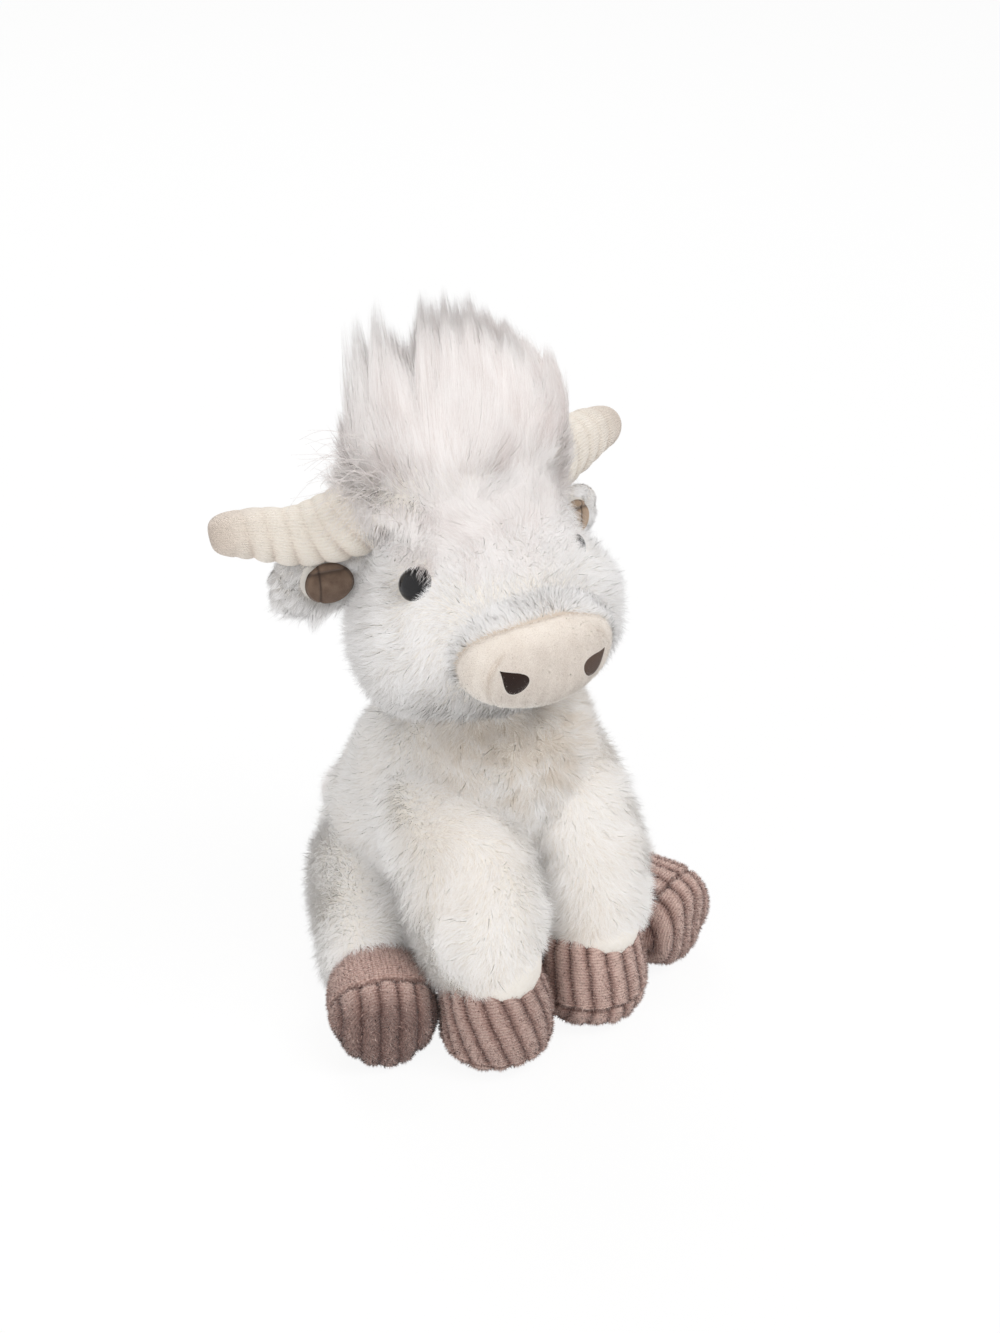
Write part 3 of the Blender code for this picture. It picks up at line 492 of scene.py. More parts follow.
def hind_stations(side, splay):
    ankle_reach = HIND_TOE_REACH - HIND_HOOF_LENGTH
    leg = []
    for a, w, h, rise in HIND_LEG:
        height = HIND_ANKLE_HEIGHT + (HIP[2] - HIND_ANKLE_HEIGHT) * rise
        leg.append((hind_point(side, splay, ankle_reach * a, height), 0.0265 * w, 0.0300 * h))
    ankle = hind_point(side, splay, ankle_reach, HIND_ANKLE_HEIGHT)
    toe = hind_point(side, splay, HIND_TOE_REACH, HIND_TOE_HEIGHT)
    hoof = [(ankle + (toe - ankle) * a, 0.0220 * s, 0.0220 * s) for a, s in HIND_HOOF]
    return leg, hoof


def bend(start, middle, end, share):
    return start * (1 - share) ** 2 + middle * (2 * share * (1 - share)) + end * share ** 2


def ear_stations(side):
    root, tip = mirrored(EAR_ROOT, side), mirrored(EAR_TIP, side)
    return [(root + (tip - root) * a, 0.0070 * s, 0.0145 * s) for a, s in EAR]


def tail_stations():
    tail = [(bend(*TAIL_POINTS, a), 0.0075 * s, 0.0075 * s)
            for a, s in ((0.00, 1.10), (0.35, 1.05), (0.70, 0.92), (1.00, 0.85))]
    end = TAIL_POINTS[-1]
    tuft = [(end + (TUFT_END - end) * a, 0.010 * s, 0.010 * s)
            for a, s in ((0.00, 0.80), (0.30, 1.04), (0.62, 1.00), (0.88, 0.66), (1.00, 0.34))]
    return tail, tuft


# Camera, stage and lights
def make_camera():
    level = math.cos(CAMERA_DROP)
    ahead = Vector((math.sin(CAMERA_TURN) * level, math.cos(CAMERA_TURN) * level, -math.sin(CAMERA_DROP)))
    right = Vector((math.cos(CAMERA_TURN), -math.sin(CAMERA_TURN), 0))
    data = bpy.data.cameras.new("camera")
    data.sensor_fit, data.sensor_height, data.lens = "VERTICAL", CAMERA_SENSOR, CAMERA_LENS
    camera = linked("camera", data)
    camera.matrix_world = Matrix((right, right.cross(ahead), -ahead)).transposed().to_4x4()
    camera.matrix_world.translation = Vector(CAMERA_PLACE)
    bpy.context.scene.camera = camera


def make_stage():
    """White floor and white surroundings, dimmer to light the cow than they look."""
    corners = [(x * FLOOR_HALF, y * FLOOR_HALF, -FLOOR_DROP) for x, y in ((-1, -1), (1, -1), (1, 1), (-1, 1))]
    mesh = bpy.data.meshes.new("floor")
    mesh.from_pydata(corners, [], [(0, 1, 2, 3)])
    floor = linked("floor", mesh)
    made, tree, shader = material("floor", 1.0)
    tree.links.new(ramp(tree, noise(tree, 30.0), [(0.3, (0.93,) * 3), (0.7, (0.95,) * 3)]),
                   shader.inputs["Base Color"])
    seen = maths(tree, "MULTIPLY", seen_rays(tree), FLOOR_WHITE)
    white = add_node(tree, "ShaderNodeEmission", {"Color": (1, 1, 1, 1), "Strength": 1.0})
    mixed = add_node(tree, "ShaderNodeMixShader", {0: seen, 1: shader.outputs[0], 2: white.outputs[0]})
    tree.links.new(mixed.outputs[0], tree.nodes["Material Output"].inputs["Surface"])
    mesh.materials.append(made)

    world = bpy.data.worlds.new("studio")
    bpy.context.scene.world = world
    world.use_nodes = True
    tree = world.node_tree
    tree.nodes.clear()
    light = add_node(tree, "ShaderNodeBackground", {"Color": (1.0, 0.99, 0.98, 1), "Strength": WORLD_LIGHT})
    white = add_node(tree, "ShaderNodeBackground", {"Color": (1, 1, 1, 1), "Strength": 1.0})
    shares = {0: seen_rays(tree), 1: light.outputs[0], 2: white.outputs[0]}
    mixed = add_node(tree, "ShaderNodeMixShader", shares)
    add_node(tree, "ShaderNodeOutputWorld", {"Surface": mixed.outputs[0]})


def make_lamp(name, place, target, size, power, glints=True, colour=(1, 0.99, 0.98)):
    data = bpy.data.lights.new(name, "AREA")
    data.shape, data.size, data.energy, data.color = "DISK", size, power, colour
    lamp = linked(name, data)
    lamp.location = place
    lamp.rotation_mode = "QUATERNION"
    lamp.rotation_quaternion = (Vector(target) - Vector(place)).to_track_quat("-Z", "Y")
    lamp.visible_glossy = glints


bpy.context.scene.view_settings.view_transform = "Standard"
make_camera()
make_stage()
make_lamp("key", (0.40, -0.72, 1.45), (0, -0.03, 0.12), 1.0, 12.2, glints=False)
make_lamp("fill", (-1.3, -0.62, 0.60), (0, -0.03, 0.10), 1.0, 8.0, glints=False)
make_lamp("window", (0.58, -0.60, 1.19), (0, -0.03, 0.18), 0.24, 1.6, colour=(1, 1, 1))
make_lamp("back", (0.2, 1.0, 1.2), (0, 0, 0.14), 0.9, 8.5, colour=(1, 1, 1))

# Materials
# Fur: the roots darker as painted shade; the last colour of the body and head fur, at tone 0, also carries
# painted shade on the chest, the cow's right side and the lower face.
FUR = fur_material("fur_strands", (0.73, 0.69, 0.64), (0.82, 0.805, 0.79), (0.86, 0.86, 0.865),
                   (0.85, 0.785, 0.71))
HEAD_FUR = fur_material("head_fur_strands", (0.70, 0.665, 0.63), (0.81, 0.80, 0.795), (0.87, 0.87, 0.88),
                        (0.70, 0.69, 0.68))
LONG_FUR = fur_material("long_fur_strands", (0.74, 0.70, 0.68), (0.81, 0.78, 0.77), (0.85, 0.835, 0.83),
                        (0.83, 0.79, 0.78))
FUR_BASE = speckled_material("fur_base", (0.84, 0.80, 0.74), (0.88, 0.85, 0.80), 0.95, 900.0, detail=3.0,
                             strength=0.25, depth=1.2 * MM)
VELVET = fuzz_material("velvet_pile", (0.68, 0.615, 0.56), (0.84, 0.79, 0.73), (0.94, 0.91, 0.87))
HOOF_FUZZ = fuzz_material("hoof_fuzz", (0.100, 0.051, 0.043), (0.45, 0.295, 0.255), (0.80, 0.62, 0.56))


# Fur pieces, and how much the cow's right side of two of them is drawn in below a height
SLIMMING = {"torso": (0.11, 0.110, 0.085), "head": (0.045, 0.190, 0.165)}
PLUSH = {"width": 0.25, "pull": 0.30, "jitter": 0.32}
LONG = {"segments": 4, "curl": 0.08, "width": 0.22, "grain": 0.22}
BASE_GROUND, PILE_FILL = 0.8 * MM, 0.6


def fur_base(name, form, body, node, seed, uneven=0.8):
    """Underlayer of a fur piece: the form drawn in by the pile's depth, with slow unevenness."""
    grid = form["grid"]
    if name in SLIMMING:
        most, high, low = SLIMMING[name]
        slimmed = grid * rows_of(1 - most * smooth(high, low, grid[..., 2]), 1.0, 1.0)
        grid = np.where(grid[..., :1] < 0, slimmed, grid)
    grid = grid + grid_normals(grid) * (ripple(grid, 0.022, seed) * uneven * MM)[..., None]
    grid[..., 2] = np.maximum(grid[..., 2], BASE_GROUND)
    item = grid_object(f"{name}_base", grid)
    place_piece(item, FUR_BASE, body, node)
    return item, grid


def kept_roots(grid, count, seed, trees=(), ground=3 * MM, start=0.0):
    """Roots and normals above the ground, past the first rows, and no deeper in other forms than allowed."""
    roots, normals, row, _ = scatter(grid, count, seed)
    keep = (roots[:, 2] > ground) & (row >= start)
    for tree, allowance in trees:
        keep[keep] = depth_inside(tree, roots[keep]) < allowance
    return roots[keep], normals[keep]


def tones(roots, rng, level, unevenness, size, seed, spread):
    """Tone of each strand: a level with slow unevenness and a random spread."""
    return level + unevenness * ripple(roots, size, seed) + rng.normal(size=len(roots)) * spread


def grow(name, body, node, slot, finish, roots, normals, flow, length, seed, lean=50, parts=3, tone=None,
         lock=None, **settings):
    """Fur of one piece, dealt out at random over a few meshes that cast no shadow."""
    rng = np.random.default_rng(seed + 50)
    share = rng.integers(0, parts, len(roots))
    length = np.broadcast_to(length, len(roots))
    lean = np.broadcast_to(lean, len(roots))
    for part in range(parts):
        pick = share == part
        part_name = f"{name}_{part + 1}" if parts > 1 else name
        item = fur_strands(part_name, roots[pick], normals[pick], flow[pick], length[pick] * MM,
                           np.radians(lean[pick]), None if tone is None else tone[pick],
                           None if lock is None else (lock[0][pick], lock[1][pick]), seed + part, **settings)
        points = item.data.vertices
        flat = np.empty(len(points) * 3, np.float32)
        points.foreach_get("co", flat)
        flat[2::3] = np.maximum(flat[2::3], FLOOR_GAP)
        points.foreach_set("co", flat)
        item.visible_shadow = False
        place_piece(item, finish, body, node)


torso_base, torso_grid = fur_base("torso", tube(level_stations(TORSO), rows=60, columns=80, inset=4.6 * MM),
                                  "torso", "torso_skin", 1)
head_base, head_grid = fur_base("head", tube(level_stations(HEAD), rows=56, columns=80, inset=4.4 * MM),
                                "head", "head_skin", 2, uneven=0.5)
torso_tree, head_tree = tree_of(torso_base), tree_of(head_base)


# Muzzle of short velboa, with the fold over the nose and a crease beside each nostril, both darkened by
# painted shade, and painted shade on its front
MUZZLE_CENTRE = np.array((0, -0.088, 0.158))


def velboa_material():
    made, tree, shader = material("velboa", 0.85, Sheen_Weight=0.25, Sheen_Roughness=0.4)
    colour = ramp(tree, noise(tree, 90.0, 3.0), [(0.3, (0.77, 0.71, 0.645)), (0.7, (0.84, 0.79, 0.73))])
    # Painted shade: the muzzle's front darker than its top.
    colour = mix_colour(tree, stored(tree, "front"), colour, (0.70, 0.645, 0.59))
    # Painted shade in the fold over the nose and in the creases beside the nostrils.
    colour = mix_colour(tree, stored(tree, "crease"), colour, (0.46, 0.35, 0.26))
    finish_material(tree, shader, colour, noise(tree, 1600.0), 0.35, 0.4 * MM)
    return made


def panel_edge(points):
    """How far in front of the fur panel's edge a place on the muzzle lies."""
    x = points[..., 0]
    rise = np.where(x < 0, 0.010, 0.004) * (x / 0.029) ** 2
    return -0.0765 + rise - points[..., 1]


def front_shade_share(points):
    """1 where painted shade darkens the muzzle's front, 0 above and behind it."""
    return smooth(-0.076, -0.084, points[..., 1]) * smooth(0.176, 0.166, points[..., 2])


stations = [((0, y, MUZZLE_HEIGHT), w, h) for w, h, y in MUZZLE]
grid = tube(stations, rows=90, columns=180, fullness=0.93)["grid"]
high = smooth(0.150, 0.156, grid[..., 2])
ahead = panel_edge(grid)
fold = bell(ahead, 0.0006, 0.0011) * high
under = smooth(0.0, -0.004, ahead) * high
lower = grid[..., 2] - MUZZLE_CENTRE[2]
crease_x = 0.0243 - np.where(lower > 0, 0.0040, 0.0028) * (lower / 0.009) ** 2
crease_range = ((grid[..., 1] < -0.06) * smooth(0.170, 0.165, grid[..., 2])
                * smooth(0.1435, 0.148, grid[..., 2]))
creases = bell(abs(grid[..., 0]), crease_x, 0.0006) * crease_range
ridge = bell(abs(grid[..., 0]), crease_x - 0.0013, 0.0008) * crease_range
height = 0.35 * ripple(grid, 0.016, 5) - 1.1 * fold - 1.2 * creases + 0.5 * ridge - 1.4 * under
muzzle_grid = grid + grid_normals(grid) * (height * MM)[..., None]
muzzle_piece = grid_object("muzzle", muzzle_grid)
# Painted shade: how dark the fold and creases are, and how far the front's shade reaches.
set_values(muzzle_piece, "crease", np.clip(fold * 0.85 + creases, 0, 1) * 0.75)
set_values(muzzle_piece, "front", front_shade_share(muzzle_grid))
place_piece(muzzle_piece, velboa_material(), "head", "muzzle_cover")
muzzle_tree = tree_of(muzzle_piece)

# Nostrils of satin stitch, each with its middle's place and its tilt
STITCH_WIDTH = 0.42 * MM
NOSTRIL_HALF_LENGTH, NOSTRIL_HALF_WIDTH, NOSTRIL_RISE, NOSTRIL_SUNK = 6.0 * MM, 6.6 * MM, 1.2 * MM, 0.2 * MM
NOSTRILS = {"left": (0.0161, MUZZLE_HEIGHT - 0.0013, math.radians(31)),
            "right": (-0.0173, MUZZLE_HEIGHT + 0.0002, math.radians(135))}


def thread_material(name, dark, light):
    made, tree, shader = material(name, 0.6, Specular_IOR_Level=0.25)
    waves = maths(tree, "SINE", maths(tree, "MULTIPLY", stored(tree, "stitch"), math.tau / STITCH_WIDTH))
    height = maths(tree, "MULTIPLY_ADD", noise(tree, 1200.0), 0.6, waves)
    finish_material(tree, shader, ramp(tree, height, [(0.0, dark), (1.0, light)]), height, 0.8, 0.2 * MM)
    return made


# The left nostril's thread is the same satin painted lighter, as painted light where it catches the lamps.
THREAD = {"right": thread_material("satin_thread", (0.012, 0.006, 0.005), (0.050, 0.026, 0.019)),
          "left": thread_material("satin_thread_painted_light", (0.055, 0.034, 0.028), (0.21, 0.145, 0.115))}


def make_nostril(side_name):
    """Raised teardrop lying on the muzzle's front."""
    centre_x, centre_z, tilt = NOSTRILS[side_name]
    turns = np.linspace(0, math.tau, 96, endpoint=False)
    rings = np.linspace(1.0, 0.0, 14, endpoint=False)
    points, stitch = [], []
    for ring in rings:
        across = NOSTRIL_HALF_LENGTH * np.cos(turns) * ring
        up = NOSTRIL_HALF_WIDTH * np.sin(turns) * np.sin(turns / 2) ** 1.6 * ring
        x = across * math.cos(tilt) - up * math.sin(tilt) + centre_x
        z = across * math.sin(tilt) + up * math.cos(tilt) + centre_z
        rise = NOSTRIL_RISE * math.sqrt(max(1 - ring ** 2, 0)) - NOSTRIL_SUNK
        for px, pz, a in zip(x, z, across):
            hit, normal, _, _ = muzzle_tree.ray_cast(Vector((px, RAY_START, pz)), BACK)
            points.append(hit + normal * rise)
            stitch.append(a)
    grid = np.array(points).reshape(len(rings), len(turns), 3)
    item = grid_object(f"nostril_{side_name}", grid, cap_start=False)
    set_values(item, "stitch", np.array(stitch))
    place_piece(item, THREAD[side_name], "head", f"nostril_{side_name}")
    return tree_of(item)


nostril_trees = [make_nostril(side_name) for side_name in SIDES]


# Eyes: glossy domes on their stems, as (radius, height) places
EYE_RADIUS, EYE_SUNK = 6.5 * MM, {"left": 2.7 * MM, "right": 0.0}
EYE_PROFILE = [(EYE_RADIUS * math.sin(t), EYE_RADIUS * math.cos(t))
               for t in np.linspace(0.04, math.pi / 2, 36)]
EYE_PROFILE += [(r * MM, h * MM) for r, h in (
    (6.5, -0.6), (6.3, -1.1), (5.8, -1.2), (2.0, -1.2), (1.8, -1.6), (1.8, -13.6), (1.5, -14.0))]


def eye_material():
    made, tree, shader = material("eye_gloss", 0.06, Specular_IOR_Level=0.4)
    marks = noise(tree, 400.0, 4.0)
    for socket, stops in (("Base Color", [(0.3, (0.004, 0.004, 0.005)), (0.8, (0.010, 0.009, 0.010))]),
                          ("Roughness", [(0.35, (0.05,) * 3), (0.85, (0.12,) * 3)])):
        tree.links.new(ramp(tree, marks, stops), shader.inputs[socket])
    return made


EYE = eye_material()
eye_places = {}
for side_name in SIDES:
    washer = np.mean([v.co[:] for v in frame["nodes"][f"eye_washer_{side_name}"].data.vertices], axis=0)
    corners = np.array([v.co[:] for v in frame["nodes"][f"eye_{side_name}"].data.vertices])
    aim = unit(corners[np.argmax(np.linalg.norm(corners - washer, axis=1))] - washer)
    reach = ((corners - washer) @ aim).max()
    middle = washer + aim * (reach - EYE_RADIUS - EYE_SUNK[side_name])
    eye_places[side_name] = (middle, aim)
    first = unit(np.cross(aim, (0, 0, 1)))
    second = np.cross(aim, first)
    turns = np.linspace(0, math.tau, 72, endpoint=False)
    grid = np.array([[middle + aim * h + (first * math.cos(t) + second * math.sin(t)) * r for t in turns]
                     for r, h in EYE_PROFILE])
    place_piece(grid_object(f"eye_{side_name}_bead", grid), EYE, "head", f"eye_{side_name}")


# Ribbed cloth
CORD_ROW = 1.15 * MM


def cord_material(name, valley, crest, tip):
    """Chenille cord: valleys darkened by painted shade, pale crests, rows of pile across each rib."""
    made, tree, shader = material(name, 0.9, Sheen_Weight=0.25, Sheen_Roughness=0.5)
    rib = stored(tree, "rib")
    phase = maths(tree, "MULTIPLY_ADD", noise(tree, 350.0, 3.0), 5.0,
                  maths(tree, "MULTIPLY", stored(tree, "run"), math.tau / CORD_ROW))
    rows = maths(tree, "MULTIPLY_ADD", maths(tree, "SINE", phase), 0.5, 0.5)
    pile = maths(tree, "MULTIPLY_ADD", rows, 0.30, maths(tree, "MULTIPLY", noise(tree, 1500.0, 3.0), 0.9))
    colour = ramp(tree, maths(tree, "MULTIPLY_ADD", rib, 0.60, maths(tree, "MULTIPLY", pile, 0.50)),
                  [(0.34, valley), (0.70, crest), (0.98, tip)])
    # The stored shade mixes in the valley colour: painted shade on the hooves, and on the horns the tip's own
    # darker tone.
    colour = mix_colour(tree, stored(tree, "shade"), colour, valley)
    finish_material(tree, shader, colour, maths(tree, "MULTIPLY_ADD", rib, 0.35, pile), 0.9, 0.7 * MM)
    return made


HOOF_CORD = cord_material("hoof_cord", (0.095, 0.046, 0.038), (0.44, 0.285, 0.245), (0.72, 0.54, 0.48))
HORN_CORD = cord_material("horn_cord", (0.61, 0.52, 0.45), (0.80, 0.73, 0.645), (0.86, 0.81, 0.74))


def rib_profile(phase):
    """0 in the valley between two ribs, 1 along a crest, for a phase of one per rib."""
    return np.abs(np.sin(np.pi * phase)) ** 0.65


def run_length(grid):
    """Distance along each column of a grid from its first row."""
    steps = np.linalg.norm(np.diff(grid, axis=0), axis=-1)
    return np.vstack([np.zeros((1, grid.shape[1])), np.cumsum(steps, axis=0)])


def cord_piece(name, grid, rib, run, shade, body, node, finish, cap_end=True):
    item = grid_object(name, grid, False, cap_end)
    for key, values in (("rib", rib), ("run", run), ("shade", shade)):
        set_values(item, key, values)
    place_piece(item, finish, body, node)


# Horns: the left tip lifted, the right horn sagging, as millimetres at shares of the length
HORN_RIB, HORN_SLANT, HORN_CLOTH = 7.4 * MM, -0.32, 0.955
HORN_LIFT = np.array((-6.0, 0, 7.8)) * MM
HORN_SAG = ((0.0, 3.0), (0.18, 3.0), (0.30, -1.0), (0.42, -6.0), (0.55, -8.0), (0.70, -5.0), (0.88, -1.0),
            (1.0, 0.0))
HORN_FULLNESS = ((0.0, 1.35), (0.14, 1.30), (0.36, 1.14), (0.66, 1.05), (1.0, 1.02))
horn_data = {}


def along_table(table, share):
    return np.interp(share, *zip(*table))


for side_name, side in SIDES.items():
    root, knee, tip = (mirrored(p, side) for p in HORN_POINTS)
    stations = []
    for share in (0, 0.10, 0.20, 0.30, 0.40, 0.50, 0.60, 0.72, 0.84, 0.93, 1.0):
        moved = HORN_LIFT * share ** 2 if side > 0 else np.array((0, 0, along_table(HORN_SAG, share))) * MM
        size = HORN_RADIUS * along_table(HORN, share) * along_table(HORN_FULLNESS, share)
        stations.append((bend(root, knee, tip, share) + moved, size, size))
    horn_data[side_name] = stations
    form = tube(stations, (0, 1, 0), rows=220, columns=96, fullness=HORN_CLOTH)
    grid = form["grid"]
    out = grid_normals(grid)
    run = run_length(grid)
    level = run.mean(1, keepdims=True)
    slant = HORN_SLANT * (grid - form["centre"][:, None]) @ np.array((0, 0.3, 0.9))
    rib = rib_profile((level + slant + 1.5 * MM) / HORN_RIB)
    smooth_tip = smooth(level.max() - 0.017, level.max() - 0.012, level) * np.ones_like(run)
    shade = smooth(level.max() - 0.030, level.max() - 0.002, level) * np.ones_like(run)
    underside = smooth(0.5, -0.5, out[..., 2])
    height = (rib - 1) * (0.45 + 0.75 * underside) * (1 - smooth_tip) + ripple(grid, 0.006, 7) * 0.15
    grid = grid + out * (height * MM)[..., None]
    # Painted shade in the rib valleys, stronger on the underside; the tip takes one even rib value.
    rib = (0.8 + (rib - 0.8) * (0.35 + 0.5 * underside)) * (1 - smooth_tip) + 0.75 * smooth_tip
    cord_piece(f"horn_{side_name}_cord", grid, rib, form["turn"] * 0.0105 * np.ones_like(run), shade, "head",
               f"horn_{side_name}", HORN_CORD)


def add_hoof_pile(name, grid, rib, run, shade):
    """Short upright pile in rows across the ribs."""
    count = 30000
    roots, normals, rows, columns = scatter(grid, count, 101)
    at = (np.minimum((rows * (grid.shape[0] - 1)).astype(int), grid.shape[0] - 1),
          (columns * grid.shape[1]).astype(int) % grid.shape[1])
    beat = np.sin(math.tau * run[at] / CORD_ROW + 2.5 * ripple(roots, 0.005, 102))
    rng = np.random.default_rng(103)
    keep = (rng.uniform(size=count) < 0.35 + 0.35 * beat + 0.3 * rib[at]) & (roots[:, 2] > 2 * MM)
    roots, normals, rib_at, beat, painted_shade_at = (v[keep] for v in (roots, normals, rib[at], beat, shade[at]))
    # The pile is darker in the rib valleys and in the hoof's painted shade.
    tone = rib_at * 0.44 + 0.20 * beat + rng.normal(size=len(roots)) * 0.24 + 0.16 - painted_shade_at * 0.5
    flow = tangent(rng.normal(size=roots.shape), normals)
    grow(f"{name}_hoof_fuzz", name, f"{name}_hoof", "hoof_cord", HOOF_FUZZ, roots, normals, flow, 1.5, 104,
         lean=35, width=0.30, clump=0.3, pull=0.3, parts=1, tone=tone, segments=1)


def seam_on_row(form, seam_place, facing):
    """Moves a form's rows along its columns, so that the seam's plane cuts one row; returns that row."""
    grid, rows = form["grid"], len(form["grid"])
    place = (grid - seam_place) @ facing
    crossing = np.argmax(place > 0, axis=0).astype(float)
    upper = np.maximum(crossing.astype(int) - 1, 0)
    column = np.arange(grid.shape[1])
    before, after = place[upper, column], place[crossing.astype(int), column]
    crossing = upper + np.clip(before / (before - after - 1e-12), 0, 1)
    seam = int(np.median(crossing))
    share = np.arange(rows)[:, None]
    source = np.where(share <= seam, share * crossing / seam,
                      crossing + (share - seam) * (rows - 1 - crossing) / (rows - 1 - seam))
    first = np.minimum(source.astype(int), rows - 2)
    part = (source - first)[..., None]
    form["grid"] = grid[first, column] * (1 - part) + grid[first + 1, column] * part
    for key in ("centre", "side"):
        form[key] = form[key][first] * (1 - part) + form[key][first + 1] * part
    return seam


# Ribs round each hoof's upper, their slant along it and their depth, and the sole's rib width
HOOVES = {"front_leg_left": (17, 10, 1.0 * MM, 6.7 * MM), "front_leg_right": (17, 38, 1.0 * MM, 6.7 * MM),
          "hind_leg_left": (17, 10, 1.0 * MM, 7.0 * MM), "hind_leg_right": (70, 0, 0.16 * MM, 7.0 * MM)}
# Painted shade over a hoof's whole upper, and over its sole growing towards the ground.
HOOF_PAINTED_SHADE = {"front_leg_right": (0.22, 0.22), "hind_leg_right": (0.0, 0.70)}
HOOF_CLOTH, HOOF_GROUND, SOLE_DEPTH, SHALLOW = 0.925, 0.5 * MM, 1.1 * MM, 0.5 * MM
FRONT_SEAM_HEIGHT = {"left": 12.0 * MM, "right": 6.0 * MM}
HIND_SEAM_HEIGHT, HIND_SEAM_TILT, HIND_SEAM_SHIFT = 34 * MM, 0.55, 3.5 * MM


def make_hoof(name, stations, seam_place, facing):
    """Upper and sole of one hoof from a single form, split and drawn in at the sole's seam."""
    ribs, slant, depth, sole_rib = HOOVES[name]
    form = tube(stations, rows=200, columns=260, fullness=HOOF_CLOTH)
    seam = seam_on_row(form, seam_place, facing)
    grid = form["grid"]
    run = run_length(grid)
    place = run - run[seam]
    across = ((grid - form["centre"]) * form["side"]).sum(-1)
    turn = form["turn"] * np.ones_like(run)
    uneven = 0.022 * ripple(grid, 0.0045, 12)
    upper = rib_profile(ribs * turn / math.tau + run * slant + uneven)
    sole = rib_profile(across / sole_rib + 0.5 + uneven)
    if depth < SHALLOW:
        upper = 0.45 + 0.4 * upper
    on_sole = smooth(-0.3 * MM, 0.3 * MM, place)
    rib = upper * (1 - on_sole) + sole * on_sole
    depths = (upper - 1) * depth * (1 - on_sole) + (sole - 1) * SOLE_DEPTH * on_sole
    pucker = ripple(rows_of(turn * 0.022, 0, 0), 0.004, 9)
    stitches = 0.5 + 0.5 * np.sin(turn * 46 + pucker * 1.5)
    pinch = bell(place + pucker * 0.4 * MM + (stitches - 0.5) * 0.5 * MM, 0, 1.0 * MM)
    lip = bell(place, -1.9 * MM, 0.9 * MM) * (0.4 + 0.6 * stitches)
    soft = ripple(grid, 0.012, 11) * 0.35 * MM
    height = depths * (1 - 0.6 * lip) - pinch * 1.4 * MM + lip * 0.35 * MM + soft
    grid = grid + grid_normals(grid) * height[..., None]
    grid[..., 2] = np.maximum(grid[..., 2], HOOF_GROUND)
    # Painted shade: darker in the seam's pinch, on the listed uppers and on the listed sole towards the
    # ground; lighter along the stitched lip.
    shade_upper, shade_sole = HOOF_PAINTED_SHADE.get(name, (0, 0))
    shade = np.clip(pinch * 0.6 - lip * 0.25 + shade_upper * (1 - on_sole)
                    + shade_sole * on_sole * smooth(-4 * MM, 16 * MM, place), 0, 1)
    for part, node, rows in (("upper", "hoof", slice(0, seam + 1)), ("sole", "sole", slice(seam, None))):
        cord_piece(f"{name}_{part}", grid[rows], rib[rows], run[rows], shade[rows], name, f"{name}_{node}",
                   HOOF_CORD, cap_end=part == "sole")
    add_hoof_pile(name, grid, rib, run, shade)


leg_data, hoof_data = {}, {}
for side_name, side in SIDES.items():
    leg, hoof = front_stations(side, FRONT_REACH[side_name])
    name = f"front_leg_{side_name}"
    make_hoof(name, hoof, (0, 0, FRONT_SEAM_HEIGHT[side_name]), DOWN)
    leg_data[name], hoof_data[name] = leg, hoof

    leg, hoof = hind_stations(side, HIND_SPLAY[side_name])
    name = f"hind_leg_{side_name}"
    ahead = np.array((side * math.sin(HIND_SPLAY[side_name]), -math.cos(HIND_SPLAY[side_name]), 0))
    seam_place = mirrored(HIP, side) + ahead * (HIND_TOE_REACH - HIND_SOLE_DEPTH + HIND_SEAM_SHIFT)
    seam_place[2] = HIND_SEAM_HEIGHT
    make_hoof(name, hoof, seam_place, ahead + DOWN * HIND_SEAM_TILT)
    leg_data[name], hoof_data[name] = leg, hoof

# Short pile of the muzzle, brushed down
roots, normals = scatter(muzzle_grid, 70000, 111)[:2]
keep = (panel_edge(roots) > 0.4 * MM) | (roots[:, 2] < 0.152)
keep[keep] = depth_inside(head_tree, roots[keep]) < 1 * MM
for tree in nostril_trees:
    keep[keep] = [tree.find_nearest(Vector(point))[3] > 0.5 * MM for point in roots[keep]]
roots, normals = roots[keep], normals[keep]
rng = np.random.default_rng(112)
streaks = ripple(roots * (1, 1, 0.25), 0.0022, 113)
# Painted shade darkens the pile on the muzzle's front.
tone = 0.62 - 0.30 * front_shade_share(roots) + 0.10 * streaks + rng.normal(size=len(roots)) * 0.10
flow = tangent(DOWN + rng.normal(size=roots.shape) * 0.4, normals)
grow("muzzle_pile", "head", "muzzle_cover", "velboa", VELVET, roots, normals, flow, 1.1, 114, lean=48,
     width=0.16, clump=0.1, pull=0.3, parts=2, tone=tone, segments=1)


# How far hair hangs over each eye below it on its nose side, and keeps clear of it above
EYE_HAIR = {"left": (1.5 * MM, 0), "right": (2.2 * MM, 2.4 * MM)}


def near_eye(roots):
    """Distance from the nearer eye's axis, larger where hair may hang over the bead."""
    distances = []
    for middle, aim in eye_places.values():
        apart = roots - middle
        distance = np.linalg.norm(np.cross(apart, aim), axis=1)
        inward = -np.sign(middle[0]) * apart[:, 0] * 0.7
        lower, upper = (np.clip(inward + part, 0, None) / np.maximum(distance, 1e-6)
                        for part in (-apart[:, 2], apart[:, 2]))
        over, clear = EYE_HAIR["right" if middle[0] < 0 else "left"]
        behind = 0.05 * (apart @ aim < -0.012)
        distances.append(distance + over * np.minimum(lower, 1) - clear * np.minimum(upper, 1) + behind)
    return np.min(distances, axis=0)


